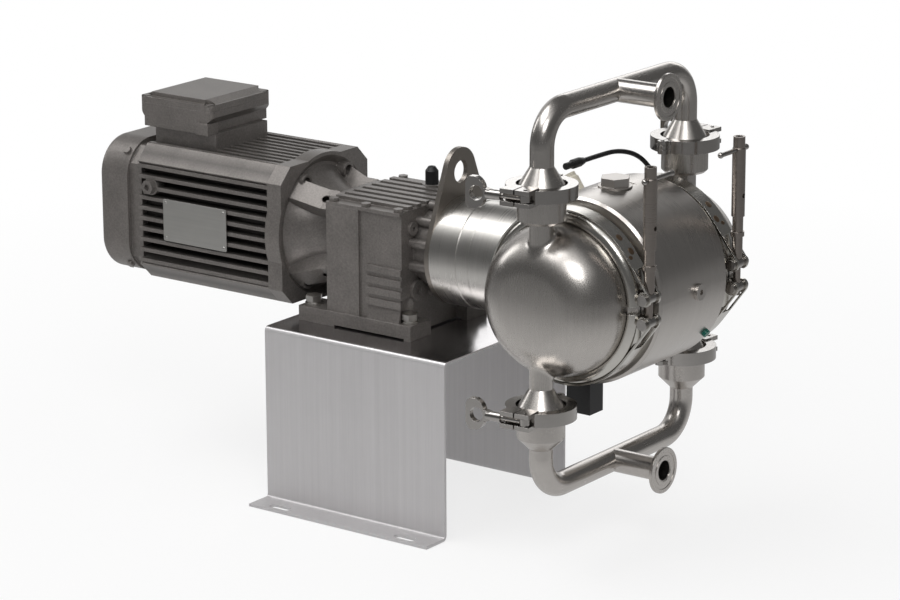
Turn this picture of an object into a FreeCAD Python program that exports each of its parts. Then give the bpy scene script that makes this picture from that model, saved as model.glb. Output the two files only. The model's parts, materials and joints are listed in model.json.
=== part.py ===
import FreeCAD, Part
import math
import os
import PartDesign
import Sketcher

# Electric diaphragm pump: an inline gearmotor on a bent sheet stand drives a double diaphragm
# pump with ball check valves. Millimetres, +Z up, +X from the motor to the pump. The origin is
# the centre of the stand's foot slots on the floor.

V = FreeCAD.Vector
doc = FreeCAD.newDocument("ElectricDiaphragmPump")

# Driving sizes. Each is written once, here.
DRIVING_SIZES = {
    "stand_width": 248.0,
    "stand_depth": 231.2,
    "stand_height": 202.0,
    "stand_sheet": 3.0,
    "stand_bend": 6.0,
    "stand_flange": 33.7,
    "slot_spacing": 174.0,
    "slot_length": 28.0,
    "slot_width": 10.0,
    "slot_inset": 23.0,
    "shaft_height": 92.0,
    "foot_bolt": 10.0,
    "foot_bolt_spacing": 134.0,
    "foot_bolt_gauge": 114.0,
    "foot_bolt_middle": -33.0,
    "gear_foot_length": 156.0,
    "gear_foot_start": -110.0,
    "gear_foot_width": 144.0,
    "gear_foot_thick": 17.0,
    "gear_pad_width": 38.0,
    "gear_body_start": -71.0,
    "gear_body_length": 102.0,
    "gear_body_width": 140.0,
    "gear_body_top": 340.0,
    "gear_wall": 13.0,
    "gear_cover_thick": 8.0,
    "gear_neck_radius": 46.0,
    "neck_boss_ring": 50.0,
    "neck_boss_radius": 5.5,
    "motor_bell_length": 56.5,
    "motor_rim_radius": 84.0,
    "motor_frame_length": 190.0,
    "motor_half": 79.0,
    "motor_chamfer": 18.0,
    "motor_core_radius": 66.0,
    "motor_bore_radius": 58.0,
    "fin_pitch": 12.4,
    "fin_thick": 4.2,
    "bell_wall": 6.0,
    "shield_thick": 10.0,
    "air_gap": 0.5,
    "stator_bore": 36.0,
    "stator_length": 110.0,
    "motor_shaft_radius": 10.0,
    "fit_gap": 0.05,
    "cowl_half": 79.0,
    "cowl_corner": 42.0,
    "cowl_length": 44.0,
    "cowl_gap": 17.0,
    "cowl_sheet": 2.5,
    "fan_radius": 62.0,
    "box_length": 107.0,
    "box_width": 109.4,
    "box_setback": 100.0,
    "box_lid_rim": 417.8,
    "box_lid_thick": 7.2,
    "box_panel": 5.0,
    "box_rim_depth": 7.5,
    "box_flare": 8.0,
    "box_floor": 391.0,
    "box_wall": 4.0,
    "box_corner": 8.0,
    "neck_length": 90.0,
    "neck_width": 92.0,
    "gear_module": 2.25,
    "gear_width": 14.0,
    "lay_shaft_radius": 9.0,
    "output_radius": 12.5,
    "lifting_plate": 6.0,
    "lifting_hole": 25.0,
    "lifting_height": 88.5,
    "lifting_rim": 27.0,
    "adapter_start": 63.0,
    "adapter_radius": 61.0,
    "adapter_wall": 6.0,
    "adapter_end": 158.0,
    "pump_middle": 265.0,
    "housing_radius": 101.5,
    "housing_half": 65.0,
    "cavity_radius": 70.0,
    "cavity_half": 46.0,
    "neck_collar": 82.0,
    "clamp_plane": 86.0,
    "flange_radius": 90.0,
    "flange_land": 4.0,
    "flange_slope": 6.5,
    "diaphragm_thick": 2.5,
    "disc_radius": 42.0,
    "disc_thick": 8.0,
    "rod_radius": 9.0,
    "throw": 4.0,
    "crank_radius": 16.0,
    "bearing_radius": 24.0,
    "crank_width": 24.0,
    "dish_radius": 82.0,
    "dish_knuckle": 59.0,
    "dish_crown": 145.0,
    "dish_straight": 98.5,
    "dish_wall": 2.0,
    "neck_fillet": 10.0,
    "band_outer": 93.5,
    "band_wall": 2.5,
    "band_gap": 0.4,
    "strap_width": 21.0,
    "strap_thick": 2.0,
    "trunnion_reach": 100.0,
    "trunnion_radius": 6.0,
    "trunnion_gap": 26.0,
    "spindle_radius": 7.2,
    "spindle_top": 446.0,
    "bar_height": 432.0,
    "bar_radius": 2.6,
    "bar_length": 57.0,
    "pipe_radius": 12.7,
    "pipe_wall": 1.65,
    "elbow_radius": 38.1,
    "valve_offset": 136.6,
    "manifold_rise": 205.0,
    "manifold_drop": 204.0,
    "branch_reach": 66.0,
    "ferrule_small": 25.25,
    "ferrule_lip": 2.85,
    "ferrule_big": 32.0,
    "ferrule_cup": 25.7,
    "joint_rise": 124.2,
    "joint_drop": 113.7,
    "cup_length": 33.7,
    "cup_taper": 13.0,
    "suction_cup": 28.0,
    "cone_length": 24.0,
    "ball_radius": 18.0,
    "ball_gap": 0.3,
    "jaw_radius": 37.9,
    "jaw_height": 14.5,
    "jaw_turn": 5.0,
    "jaw_ear": 42.6,
    "ear_height": 18.0,
    "near_ear": 16.0,
    "far_ear": 17.0,
    "swing_radius": 3.0,
    "swing_pin": 5.0,
    "nut_stem": 5.2,
    "nut_length": 41.5,
    "nut_eye": 8.0,
    "gasket_thick": 1.2,
    "plug_hex": 30.0,
    "lead_radius": 2.7,
    "coil_radius": 30.0,
}

sheet = doc.addObject("Spreadsheet::Sheet", "Sizes")
for row, (alias, number) in enumerate(DRIVING_SIZES.items(), start=1):
    sheet.set("A%d" % row, alias.replace("_", " "))
    sheet.set("B%d" % row, repr(number))
    sheet.setAlias("B%d" % row, alias)
doc.recompute()


class Size:
    """A length together with the sheet expression that gives it."""

    def __init__(self, number, text):
        self.number = float(number)
        self.text = text

    def __add__(self, other):
        return join(self, "+", other)

    def __radd__(self, other):
        return join(other, "+", self)

    def __sub__(self, other):
        return join(self, "-", other)

    def __rsub__(self, other):
        return join(other, "-", self)

    def __mul__(self, other):
        return join(self, "*", other)

    def __rmul__(self, other):
        return join(other, "*", self)

    def __truediv__(self, other):
        return join(self, "/", other)

    def __neg__(self):
        return join(0, "-", self)


def sized(value):
    if isinstance(value, Size):
        return value
    return Size(value, "(%.9g)" % value)


def join(left, sign, right):
    left = sized(left)
    right = sized(right)
    results = {
        "+": left.number + right.number,
        "-": left.number - right.number,
        "*": left.number * right.number,
        "/": left.number / right.number if right.number else 0.0,
    }
    return Size(results[sign], "(%s %s %s)" % (left.text, sign, right.text))


def root(value):
    value = sized(value)
    return Size(math.sqrt(value.number), "sqrt(%s)" % value.text)


def across(radius, offset):
    """Height of a circle of this radius at an offset from its centre."""
    return root(radius * radius - offset * offset)


S = {alias: Size(number, "Sizes." + alias) for alias, number in DRIVING_SIZES.items()}

counter = [0]


def fresh(label):
    counter[0] += 1
    return "%s_%d" % (label, counter[0])


def bind(obj, field, value):
    obj.setExpression(field, sized(value).text)


TURNS = {
    "z": FreeCAD.Rotation(),
    "x": FreeCAD.Rotation(V(0, 1, 0), 90),
    "y": FreeCAD.Rotation(V(1, 0, 0), -90),
    "-z": FreeCAD.Rotation(V(1, 0, 0), 180),
    "-x": FreeCAD.Rotation(V(0, 1, 0), -90),
    "-y": FreeCAD.Rotation(V(1, 0, 0), 90),
}


def place(obj, at, turn=None):
    """Puts an object at three sizes, with its own Z along a named axis or a rotation."""
    at = [sized(value) for value in at]
    rotation = TURNS[turn] if isinstance(turn, str) else (turn or FreeCAD.Rotation())
    obj.Placement = FreeCAD.Placement(V(*[value.number for value in at]), rotation)
    for letter, value in zip("xyz", at):
        bind(obj, "Placement.Base." + letter, value)
    return obj


def cylinder(at, axis, radius, length):
    obj = doc.addObject("Part::Cylinder", fresh("Cylinder"))
    bind(obj, "Radius", radius)
    bind(obj, "Height", length)
    return place(obj, at, axis)


def cone(at, axis, first, last, length):
    obj = doc.addObject("Part::Cone", fresh("Cone"))
    bind(obj, "Radius1", first)
    bind(obj, "Radius2", last)
    bind(obj, "Height", length)
    return place(obj, at, axis)


def box(low, size):
    obj = doc.addObject("Part::Box", fresh("Box"))
    for field, value in zip(("Length", "Width", "Height"), size):
        bind(obj, field, value)
    return place(obj, low)


def slab(middle, size):
    """A box given by its middle."""
    low = [sized(m) - sized(s) / 2 for m, s in zip(middle, size)]
    return box(low, size)


def ball(at, radius):
    obj = doc.addObject("Part::Sphere", fresh("Sphere"))
    bind(obj, "Radius", radius)
    return place(obj, at)


def prism(at, axis, across_corners, length, sides=6):
    obj = doc.addObject("Part::Prism", fresh("Prism"))
    obj.Polygon = sides
    bind(obj, "Circumradius", across_corners)
    bind(obj, "Height", length)
    return place(obj, at, axis)


def fuse(parts):
    parts = list(parts)
    if len(parts) == 1:
        return parts[0]
    obj = doc.addObject("Part::MultiFuse", fresh("Fuse"))
    obj.Shapes = parts
    obj.Refine = True
    return obj


def cut(base, tools):
    obj = doc.addObject("Part::Cut", fresh("Cut"))
    obj.Base = base
    obj.Tool = fuse(tools)
    obj.Refine = True
    return obj


def common(first, second):
    obj = doc.addObject("Part::MultiCommon", fresh("Common"))
    obj.Shapes = [first, second]
    obj.Refine = True
    return obj


def together(parts):
    """Separate solids that share one sub-part, such as a set of screws."""
    obj = doc.addObject("Part::Compound", fresh("Group"))
    obj.Links = list(parts)
    return obj


def moved(obj, at, turn=None):
    """The same object seen at another place: a compound with a placement of its own."""
    holder = together([obj])
    return place(holder, at, turn)


def tube(at, axis, outer, inner, length):
    at = [sized(value) for value in at]
    return cut(cylinder(at, axis, outer, length), [cylinder(at, axis, inner, length)])


class Arc:
    """The end of a round stretch of a profile. A positive radius turns anticlockwise."""

    def __init__(self, along, up, radius):
        self.point = (along, up)
        self.radius = sized(radius)


def arc_centre(start, end, radius):
    middle = (start + end) * 0.5
    chord = end - start
    half = chord.Length / 2
    height = math.sqrt(max(radius * radius - half * half, 0.0))
    left = V(-chord.y, chord.x, 0).normalize()
    return middle + left * (height if radius > 0 else -height)


def profile(body, plane_role, outline, holes=()):
    """A closed sketch on one of the body's own planes, every point bound to the sheet."""
    sketch = body.newObject("Sketcher::SketchObject", fresh("Sketch"))
    plane = [item for item in body.Origin.OriginFeatures if item.Role == plane_role][0]
    sketch.AttachmentSupport = [(plane, "")]
    sketch.MapMode = "FlatFace"
    ends = [item.point if isinstance(item, Arc) else item for item in outline]
    ends = [(sized(a), sized(b)) for a, b in ends]
    starts = ends[-1:] + ends[:-1]
    spots = [V(a.number, b.number, 0) for a, b in starts]
    limits = [V(a.number, b.number, 0) for a, b in ends]
    geometry = []
    first_end = []
    for item, start, end in zip(outline, spots, limits):
        if not isinstance(item, Arc):
            geometry.append(Part.LineSegment(start, end))
            first_end.append((1, 2))
            continue
        radius = item.radius.number
        centre = arc_centre(start, end, radius)
        angles = [math.atan2(p.y - centre.y, p.x - centre.x) for p in (start, end)]
        if radius < 0:
            angles.reverse()
        if angles[1] < angles[0]:
            angles[1] += 2 * math.pi
        circle = Part.Circle(centre, V(0, 0, 1), abs(radius))
        geometry.append(Part.ArcOfCircle(circle, angles[0], angles[1]))
        first_end.append((1, 2) if radius > 0 else (2, 1))
    sketch.addGeometry(geometry, False)
    count = len(geometry)
    for index in range(count):
        after = (index + 1) % count
        sketch.addConstraint(
            Sketcher.Constraint("Coincident", index, first_end[index][1], after, first_end[after][0])
        )
    for index, (along, up) in enumerate(starts):
        for kind, value in (("DistanceX", along), ("DistanceY", up)):
            number = sketch.addConstraint(
                Sketcher.Constraint(kind, index, first_end[index][0], value.number)
            )
            bind(sketch, "Constraints[%d]" % number, value)
        if isinstance(outline[index], Arc):
            radius = outline[index].radius
            number = sketch.addConstraint(Sketcher.Constraint("Radius", index, abs(radius.number)))
            bind(sketch, "Constraints[%d]" % number, radius if radius.number > 0 else -radius)
    for along, up, radius in holes:
        along, up, radius = sized(along), sized(up), sized(radius)
        centre = V(along.number, up.number, 0)
        index = sketch.addGeometry(Part.Circle(centre, V(0, 0, 1), radius.number), False)
        for kind, value in (("DistanceX", along), ("DistanceY", up)):
            number = sketch.addConstraint(Sketcher.Constraint(kind, index, 3, value.number))
            bind(sketch, "Constraints[%d]" % number, value)
        number = sketch.addConstraint(Sketcher.Constraint("Radius", index, radius.number))
        bind(sketch, "Constraints[%d]" % number, radius)
    return sketch


def turned(at, axis, outline, angle=360.0):
    """A body turned about its axis from a profile of (radius, distance along the axis)."""
    body = doc.addObject("PartDesign::Body", fresh("Body"))
    sketch = profile(body, "XZ_Plane", outline)
    feature = body.newObject("PartDesign::Revolution", fresh("Revolution"))
    feature.Profile = sketch
    feature.ReferenceAxis = (sketch, ["V_Axis"])
    feature.Angle = angle
    return place(body, at, axis)


def padded(at, plane, outline, length, holes=(), turn=None):
    """A body padded from a profile, evenly to both sides of its plane."""
    body = doc.addObject("PartDesign::Body", fresh("Body"))
    sketch = profile(body, plane + "_Plane", outline, holes)
    feature = body.newObject("PartDesign::Pad", fresh("Pad"))
    feature.Profile = sketch
    feature.SideType = "Symmetric"
    bind(feature, "Length", length)
    return place(body, at, turn)


def rounded(body, radius, chosen, chamfer=False):
    """Rounds or chamfers the edges of a body's last feature that a test picks."""
    doc.recompute()
    tip = body.Tip
    names = ["Edge%d" % (i + 1) for i, edge in enumerate(tip.Shape.Edges) if chosen(edge)]
    if not names:
        raise ValueError("no edge was picked on " + body.Label)
    kind = "PartDesign::Chamfer" if chamfer else "PartDesign::Fillet"
    feature = body.newObject(kind, fresh("Edge"))
    feature.Base = (tip, names)
    bind(feature, "Size" if chamfer else "Radius", radius)
    body.Tip = feature
    return body


NODES = {}


def node(label, obj):
    """Registers a finished sub-part under the name of its file."""
    obj.Label = label
    NODES[label] = obj
    return obj


def soft_rectangle(half_along, half_up, corner):
    """Outline of a rectangle with round corners."""
    along = half_along - corner
    up = half_up - corner
    return [
        (half_along, up),
        Arc(along, half_up, corner),
        (-along, half_up),
        Arc(-half_along, up, corner),
        (-half_along, -up),
        Arc(-along, -half_up, corner),
        (along, -half_up),
        Arc(half_along, -up, corner),
    ]


# Levels and stations that several sub-parts share
STAND_TOP = S["stand_height"]
AXIS = STAND_TOP + S["shaft_height"]
FOOT_TOP = STAND_TOP + S["gear_foot_thick"]
BODY_END = S["gear_body_start"] + S["gear_body_length"]
BELL_FACE = S["gear_body_start"]
RIM = BELL_FACE - S["motor_bell_length"]
FRAME_END = RIM - S["shield_thick"] * 2
FRAME_START = FRAME_END - S["motor_frame_length"]
BOX_RIGHT = FRAME_END - S["box_setback"]
PUMP = S["pump_middle"]


# Stand: one bent sheet with two outward foot flanges
def stand():
    half = S["stand_depth"] / 2
    t = S["stand_sheet"]
    bend = S["stand_bend"]
    inner = bend - t
    toe = half + S["stand_flange"]
    top = S["stand_height"]
    right = [
        (toe, 0),
        (toe, t),
        (half + inner, t),
        Arc(half, t + inner, -inner),
        (half, top - bend),
        Arc(half - bend, top, bend),
    ]
    left = [
        (-half + bend, top),
        Arc(-half, top - bend, bend),
        (-half, t + inner),
        Arc(-half - inner, t, -inner),
        (-toe, t),
        (-toe, 0),
        (-half - inner, 0),
        Arc(-half + t, bend, bend),
        (-half + t, top - bend),
        Arc(-half + bend, top - t, -inner),
    ]
    under = [
        (half - bend, top - t),
        Arc(half - t, top - bend, -inner),
        (half - t, bend),
        Arc(half + inner, 0, bend),
    ]
    bent = padded((0, 0, 0), "YZ", right + left + under, S["stand_width"])
    tools = []
    gauge = half + S["slot_inset"]
    straight = S["slot_length"] - S["slot_width"]
    for side_x in (-1, 1):
        for side_y in (-1, 1):
            x = S["slot_spacing"] / 2 * side_x
            y = gauge * side_y
            tools.append(slab((x, y, 0), (straight, S["slot_width"], t * 4)))
            for end in (-1, 1):
                spot = (x + straight / 2 * end, y, -t)
                tools.append(cylinder(spot, "z", S["slot_width"] / 2, t * 4))
    for x, y in foot_bolt_places():
        tools.append(cylinder((x, y, top - t * 3), "z", S["foot_bolt"] / 2 + 0.5, t * 5))
    return node("base_stand", cut(bent, tools))


def foot_bolt_places():
    return [
        (S["foot_bolt_middle"] + S["foot_bolt_spacing"] / 2 * a, S["foot_bolt_gauge"] / 2 * b)
        for a in (-1, 1)
        for b in (-1, 1)
    ]


def foot_bolts():
    """Hexagon bolts with spring and flat washers, each with its nut under the sheet."""
    shank = S["foot_bolt"] / 2
    washer = S["foot_bolt"] * 0.2
    head = S["foot_bolt"] * 0.64
    hexagon = S["foot_bolt"] * 0.98
    under = STAND_TOP - S["stand_sheet"]
    parts = []
    for x, y in foot_bolt_places():
        parts.append(
            fuse(
                [
                    cylinder((x, y, under - S["foot_bolt"]), "z", shank, FOOT_TOP - under + S["foot_bolt"]),
                    cylinder((x, y, FOOT_TOP), "z", S["foot_bolt"], washer),
                    cylinder((x, y, FOOT_TOP + washer), "z", S["foot_bolt"] * 0.8, washer),
                    prism((x, y, FOOT_TOP + washer * 2), "z", hexagon, head),
                ]
            )
        )
        nut = prism((x, y, under - S["foot_bolt"] * 0.8), "z", hexagon, S["foot_bolt"] * 0.8)
        parts.append(cut(nut, [cylinder((x, y, under - S["foot_bolt"] * 2), "z", shank, S["foot_bolt"] * 2)]))
    return node("foot_bolts", together(parts))


# Gear reducer: housing with four foot pads, side blocks with ribs, and a ribbed output neck
def gearbox_housing():
    start = S["gear_body_start"]
    width = S["gear_body_width"]
    wall = S["gear_wall"]
    top = S["gear_body_top"]
    foot_half = S["gear_foot_width"] / 2
    block_end = start + S["gear_body_length"] * 0.44
    groove = S["gear_body_length"] * 0.09
    setback = 3.0
    parts = [box((start, -width / 2 + setback, STAND_TOP), (S["gear_body_length"], width - setback * 2, top - STAND_TOP))]
    for side in (-1, 1):
        pad_low = -foot_half if side < 0 else foot_half - S["gear_pad_width"]
        parts.append(box((S["gear_foot_start"], pad_low, STAND_TOP), (S["gear_foot_length"], S["gear_pad_width"], S["gear_foot_thick"])))
        face = -width / 2 if side < 0 else width / 2 - setback * 3
        parts.append(box((start, face, STAND_TOP), (block_end - start, setback * 3, top - STAND_TOP)))
        for index in range(4):
            level = FOOT_TOP + 20 + S["fin_pitch"] * index
            middle = (block_end + groove + BODY_END) / 2
            rib = slab((middle, (width / 2 - setback) * side, level), (BODY_END - block_end - groove, 5.0, 7.5))
            parts.append(rib)
        web = padded(
            (0, 0, 0),
            "YZ",
            [
                ((width / 2 - setback - 1) * side, FOOT_TOP - 1),
                ((foot_half - 0.5) * side, FOOT_TOP - 1),
                ((width / 2 - setback) * side, FOOT_TOP + 14),
                ((width / 2 - setback - 1) * side, FOOT_TOP + 14),
            ],
            BODY_END - block_end - groove - 4,
        )
        bind(web, "Placement.Base.x", (block_end + groove + BODY_END) / 2)
        parts.append(web)
    neck_length = S["adapter_start"] - S["lifting_plate"] - BODY_END
    parts.append(cylinder((BODY_END, 0, AXIS), "x", S["gear_neck_radius"], neck_length))
    for index in range(12):
        if index == CAP_BOSS:
            continue
        turn = math.radians(30 * index + 15)
        y = S["neck_boss_ring"] * math.cos(turn)
        z = AXIS + S["neck_boss_ring"] * math.sin(turn)
        parts.append(cylinder((BODY_END, y, z), "x", S["neck_boss_radius"], neck_length))
    room = S["gear_body_length"] - wall * 2
    tools = [
        box((start + wall, -width / 2 + wall, STAND_TOP + wall), (room, width - wall * 2, top - STAND_TOP)),
        slab(((S["gear_foot_start"] + S["foot_bolt_middle"] + 80) / 2 + 20, 0, STAND_TOP), (S["gear_foot_length"] * 0.62, S["gear_foot_width"] * 2, 4.0)),
        cylinder((start - 10, 0, AXIS), "x", PINION_TIP + 2, wall + 20),
        cylinder((start + 4, 0, LAY_AXIS), "x", lay_bearing_radius(), wall),
        cylinder((BODY_END - wall - 1, 0, LAY_AXIS), "x", lay_bearing_radius(), wall - 3),
        cylinder((BODY_END - wall - 1, 0, AXIS), "x", output_bearing_radius(), wall + 1),
        cylinder((BODY_END - 2, 0, AXIS), "x", seal_radius(), neck_length + 4),
    ]
    for x, y in foot_bolt_places():
        tools.append(cylinder((x, y, STAND_TOP - 2), "z", S["foot_bolt"] / 2 + 0.5, S["gear_foot_thick"] + 4))
        tools.append(cylinder((x, y, FOOT_TOP), "z", S["foot_bolt"] * 1.1, 26.0))
    for y, z in bell_bolt_places():
        tools.append(cylinder((start - 1, y, z), "x", BELL_BOLT, 9.0))
    for x, y in cover_screw_places():
        tools.append(cylinder((x, y, top - 12), "z", COVER_SCREW, 13.0))
    for y, z, radius, depth in gearbox_plug_places():
        tools.append(cylinder((BODY_END - depth, y, z), "x", radius, depth + 1))
    return node("gearbox_housing", cut(fuse(parts), tools))


PINION_TEETH = 12
WHEEL_TEETH = 28
PRESSURE = math.radians(25)
ADDENDUM = 0.8
DEDENDUM = 1.05
BACKLASH = 0.12
PINION_TIP = S["gear_module"] * (PINION_TEETH / 2 + ADDENDUM)
WHEEL_TIP = S["gear_module"] * (WHEEL_TEETH / 2 + ADDENDUM)
LAY_AXIS = AXIS - S["gear_module"] * ((PINION_TEETH + WHEEL_TEETH) / 2)
COVER_SCREW = 3.0
CAP_BOSS = 7


def lay_bearing_radius():
    return S["lay_shaft_radius"] + 8


def output_bearing_radius():
    return S["output_radius"] + 13.5


def seal_radius():
    return S["output_radius"] + 8


def cover_screw_places():
    left = S["gear_body_start"] + S["gear_wall"] / 2
    right = BODY_END - S["gear_wall"] / 2
    edge = S["gear_body_width"] / 2 - S["gear_wall"] / 2
    middle = (left + right) / 2
    return [(x, edge * side) for x in (left, middle, right) for side in (-1, 1)]


def gearbox_plug_places():
    """Two round plugs on the output face: y, height, radius and depth."""
    ring = S["neck_boss_ring"]
    return [
        (-ring * 0.98, AXIS + ring * 0.59, sized(5.5), sized(6.0)),
        (-ring * 0.81, AXIS - ring * 0.84, sized(10.0), sized(6.0)),
    ]


def gearbox_cover():
    start = S["gear_body_start"]
    width = S["gear_body_width"]
    top = S["gear_body_top"]
    thick = S["gear_cover_thick"]
    plate = box((start, -width / 2, top), (S["gear_body_length"], width, thick * 0.5))
    parts = [plate]
    edge = S["gear_wall"]
    for index in range(7):
        y = (width - edge * 2) / 7 * (index - 3)
        parts.append(slab((start + S["gear_body_length"] / 2, y, top + thick * 0.7), (S["gear_body_length"] - 2, 8.0, thick * 0.6)))
    parts.append(cylinder((*BREATHER, top), "z", 11.0, thick))
    tools = []
    for x, y in cover_screw_places():
        tools.append(cylinder((x, y, top - 1), "z", COVER_SCREW + 0.3, thick + 2))
        tools.append(cylinder((x, y, top + thick * 0.5), "z", COVER_SCREW * 2.1, thick))
    tools.append(cylinder((*BREATHER, top - 1), "z", BREATHER_STEM, thick + 2))
    return node("gearbox_cover", cut(fuse(parts), tools))


BREATHER = (-14.0, 50.0)
BREATHER_STEM = 6.0


def breather_cap():
    top = S["gear_body_top"] + S["gear_cover_thick"]
    outline = [
        (0, -S["gear_cover_thick"]),
        (BREATHER_STEM, -S["gear_cover_thick"]),
        (BREATHER_STEM, 0),
        (7.5, 0),
        (7.5, 15.0),
        (4.0, 20.0),
        (0, 21.0),
    ]
    return node("breather_cap", turned((*BREATHER, top), "z", outline))


def screw(at, axis, radius, length, head=None):
    """A socket-head screw: its head stands on the seat at the given place."""
    head = head if head is not None else radius * 1.9
    back = {"z": (0, 0, -1), "x": (-1, 0, 0), "-x": (1, 0, 0), "y": (0, -1, 0), "-y": (0, 1, 0)}[axis]
    foot = [sized(value) + length * step for value, step in zip(at, back)]
    body = fuse([cylinder(foot, axis, radius, length), prism(at, axis, head, radius * 1.3)])
    return body


def machine_screws():
    """Screws of the gearbox cover, the bell, the terminal box lid and the fan cowl."""
    parts = []
    for x, y in cover_screw_places():
        at = (x, y, S["gear_body_top"] + S["gear_cover_thick"] * 0.5)
        parts.append(screw(at, "z", COVER_SCREW, 12.0))
    for y, z in bell_bolt_places():
        at = (BELL_FACE - BELL_FLANGE, y, z)
        parts.append(screw(at, "-x", BELL_BOLT, 14.0))
    for x, y in lid_screw_places():
        parts.append(screw((x, y, lid_seat()), "z", LID_SCREW, 14.0))
    for y, z, side_y, side_z in cowl_screw_places():
        spin = FreeCAD.Rotation(V(0, 0, 1), V(0, side_y, side_z))
        body = fuse([cylinder((0, 0, -12.0), "z", 2.5, 12.0), prism((0, 0, 0), "z", 5.0, 3.5)])
        parts.append(moved(body, (cowl_front() - 8, y, z), spin))
    return node("machine_screws", together(parts))


# Gears
def flank_point(base, pitch_angle, reach):
    """Angle of an involute flank at a radius, measured from the middle of the tooth."""
    turn = math.acos(min(base / reach, 1.0))
    return pitch_angle + (math.tan(PRESSURE) - PRESSURE) - (math.tan(turn) - turn)


def gear_shape(teeth, width, bore, first):
    """A spur gear with stub involute teeth; one tooth has its middle at the first angle."""
    module = S["gear_module"].number
    pitch = module * teeth / 2
    base = pitch * math.cos(PRESSURE)
    tip = pitch + module * ADDENDUM
    floor = pitch - module * DEDENDUM
    half_tooth = math.pi / (2 * teeth) - BACKLASH / (2 * pitch)
    reaches = [max(base, floor), pitch, tip]
    points = []
    for tooth in range(teeth):
        middle = first + 2 * math.pi * tooth / teeth
        flank = [(reach, flank_point(base, half_tooth, reach)) for reach in reaches]
        root_angle = flank[0][1] * 1.02
        side = [(floor, root_angle)] + flank
        for reach, angle in side:
            points.append(V(0, reach * math.cos(middle - angle), reach * math.sin(middle - angle)))
        for reach, angle in reversed(side):
            points.append(V(0, reach * math.cos(middle + angle), reach * math.sin(middle + angle)))
    points.append(points[0])
    blank = Part.Face(Part.makePolygon(points)).extrude(V(width, 0, 0))
    if bore > 0:
        blank = blank.cut(Part.makeCylinder(bore, width, V(0, 0, 0), V(1, 0, 0)))
    return blank


def gear(teeth, x, z, bore, first_degrees):
    obj = doc.addObject("Part::Feature", fresh("Gear"))
    obj.Shape = gear_shape(teeth, S["gear_width"].number, sized(bore).number, math.radians(first_degrees))
    return place(obj, (x, 0, z))


STAGE_ONE = S["gear_body_start"] + S["gear_wall"] + 8
STAGE_TWO = STAGE_ONE + S["gear_width"] + 8


def motor_pinion():
    wheel = gear(PINION_TEETH, STAGE_ONE, AXIS, S["motor_shaft_radius"] * 0.75, -90)
    return node("motor_pinion", wheel)


def layshaft():
    wheel = gear(WHEEL_TEETH, STAGE_ONE, LAY_AXIS, 0, 90 + 180 / WHEEL_TEETH)
    pinion = gear(PINION_TEETH, STAGE_TWO, LAY_AXIS, 0, 90)
    start = S["gear_body_start"] + 4.5
    end = BODY_END - 4.5
    shaft = cylinder((start, 0, LAY_AXIS), "x", S["lay_shaft_radius"], end - start)
    return node("layshaft", fuse([wheel, pinion, shaft]))


def output_gear():
    wheel = gear(WHEEL_TEETH, STAGE_TWO, AXIS, S["output_radius"], -90 + 180 / WHEEL_TEETH)
    return node("output_gear", wheel)


def output_shaft():
    start = STAGE_TWO - 1
    end = PUMP - S["crank_width"] / 2
    parts = [
        cylinder((start, 0, AXIS), "x", S["output_radius"], end - start),
        cylinder((end, 0, AXIS + S["throw"]), "x", S["crank_radius"], S["crank_width"]),
    ]
    return node("output_shaft", fuse(parts))


def bearings():
    """Rolling bearings and the shaft seal, each as the ring that fills its seat."""
    gap = S["fit_gap"]
    start = S["gear_body_start"]
    wall = S["gear_wall"]
    lay = S["lay_shaft_radius"]
    out = S["output_radius"]
    shaft = S["motor_shaft_radius"]
    parts = [
        tube((start + 4, 0, LAY_AXIS), "x", lay_bearing_radius(), lay + gap, wall - 4),
        tube((BODY_END - wall, 0, LAY_AXIS), "x", lay_bearing_radius(), lay + gap, wall - 4),
        tube((BODY_END - wall, 0, AXIS), "x", output_bearing_radius(), out + gap, wall - 2),
        tube((BODY_END + 2, 0, AXIS), "x", seal_radius(), out + gap, 8.0),
        tube((S["adapter_end"] - 16, 0, AXIS), "x", output_bearing_radius(), out + gap, 12.0),
        tube((RIM - 2, 0, AXIS), "x", shaft + 13, shaft + gap, 12.0),
        tube((FRAME_START - 1, 0, AXIS), "x", shaft + 13, shaft + gap, 10.0),
    ]
    return node("bearings", together(parts))


# Motor
BELL_FLANGE = 8.0
BELL_BOLT = 4.0
BELL_BOLT_RING = 54.0
FRAME_SCREW_PLACES = [(38.0 * a, 57.0 * b) for a in (-1, 1) for b in (-1, 1)]


def bell_bolt_places():
    corner = BELL_BOLT_RING * math.sqrt(0.5)
    return [(corner * a, AXIS + corner * b) for a in (-1, 1) for b in (-1, 1)]


def octagon(half, chamfer):
    return [
        (half, -half + chamfer),
        (half, half - chamfer),
        (half - chamfer, half),
        (-half + chamfer, half),
        (-half, half - chamfer),
        (-half, -half + chamfer),
        (-half + chamfer, -half),
        (half - chamfer, -half),
    ]


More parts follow.
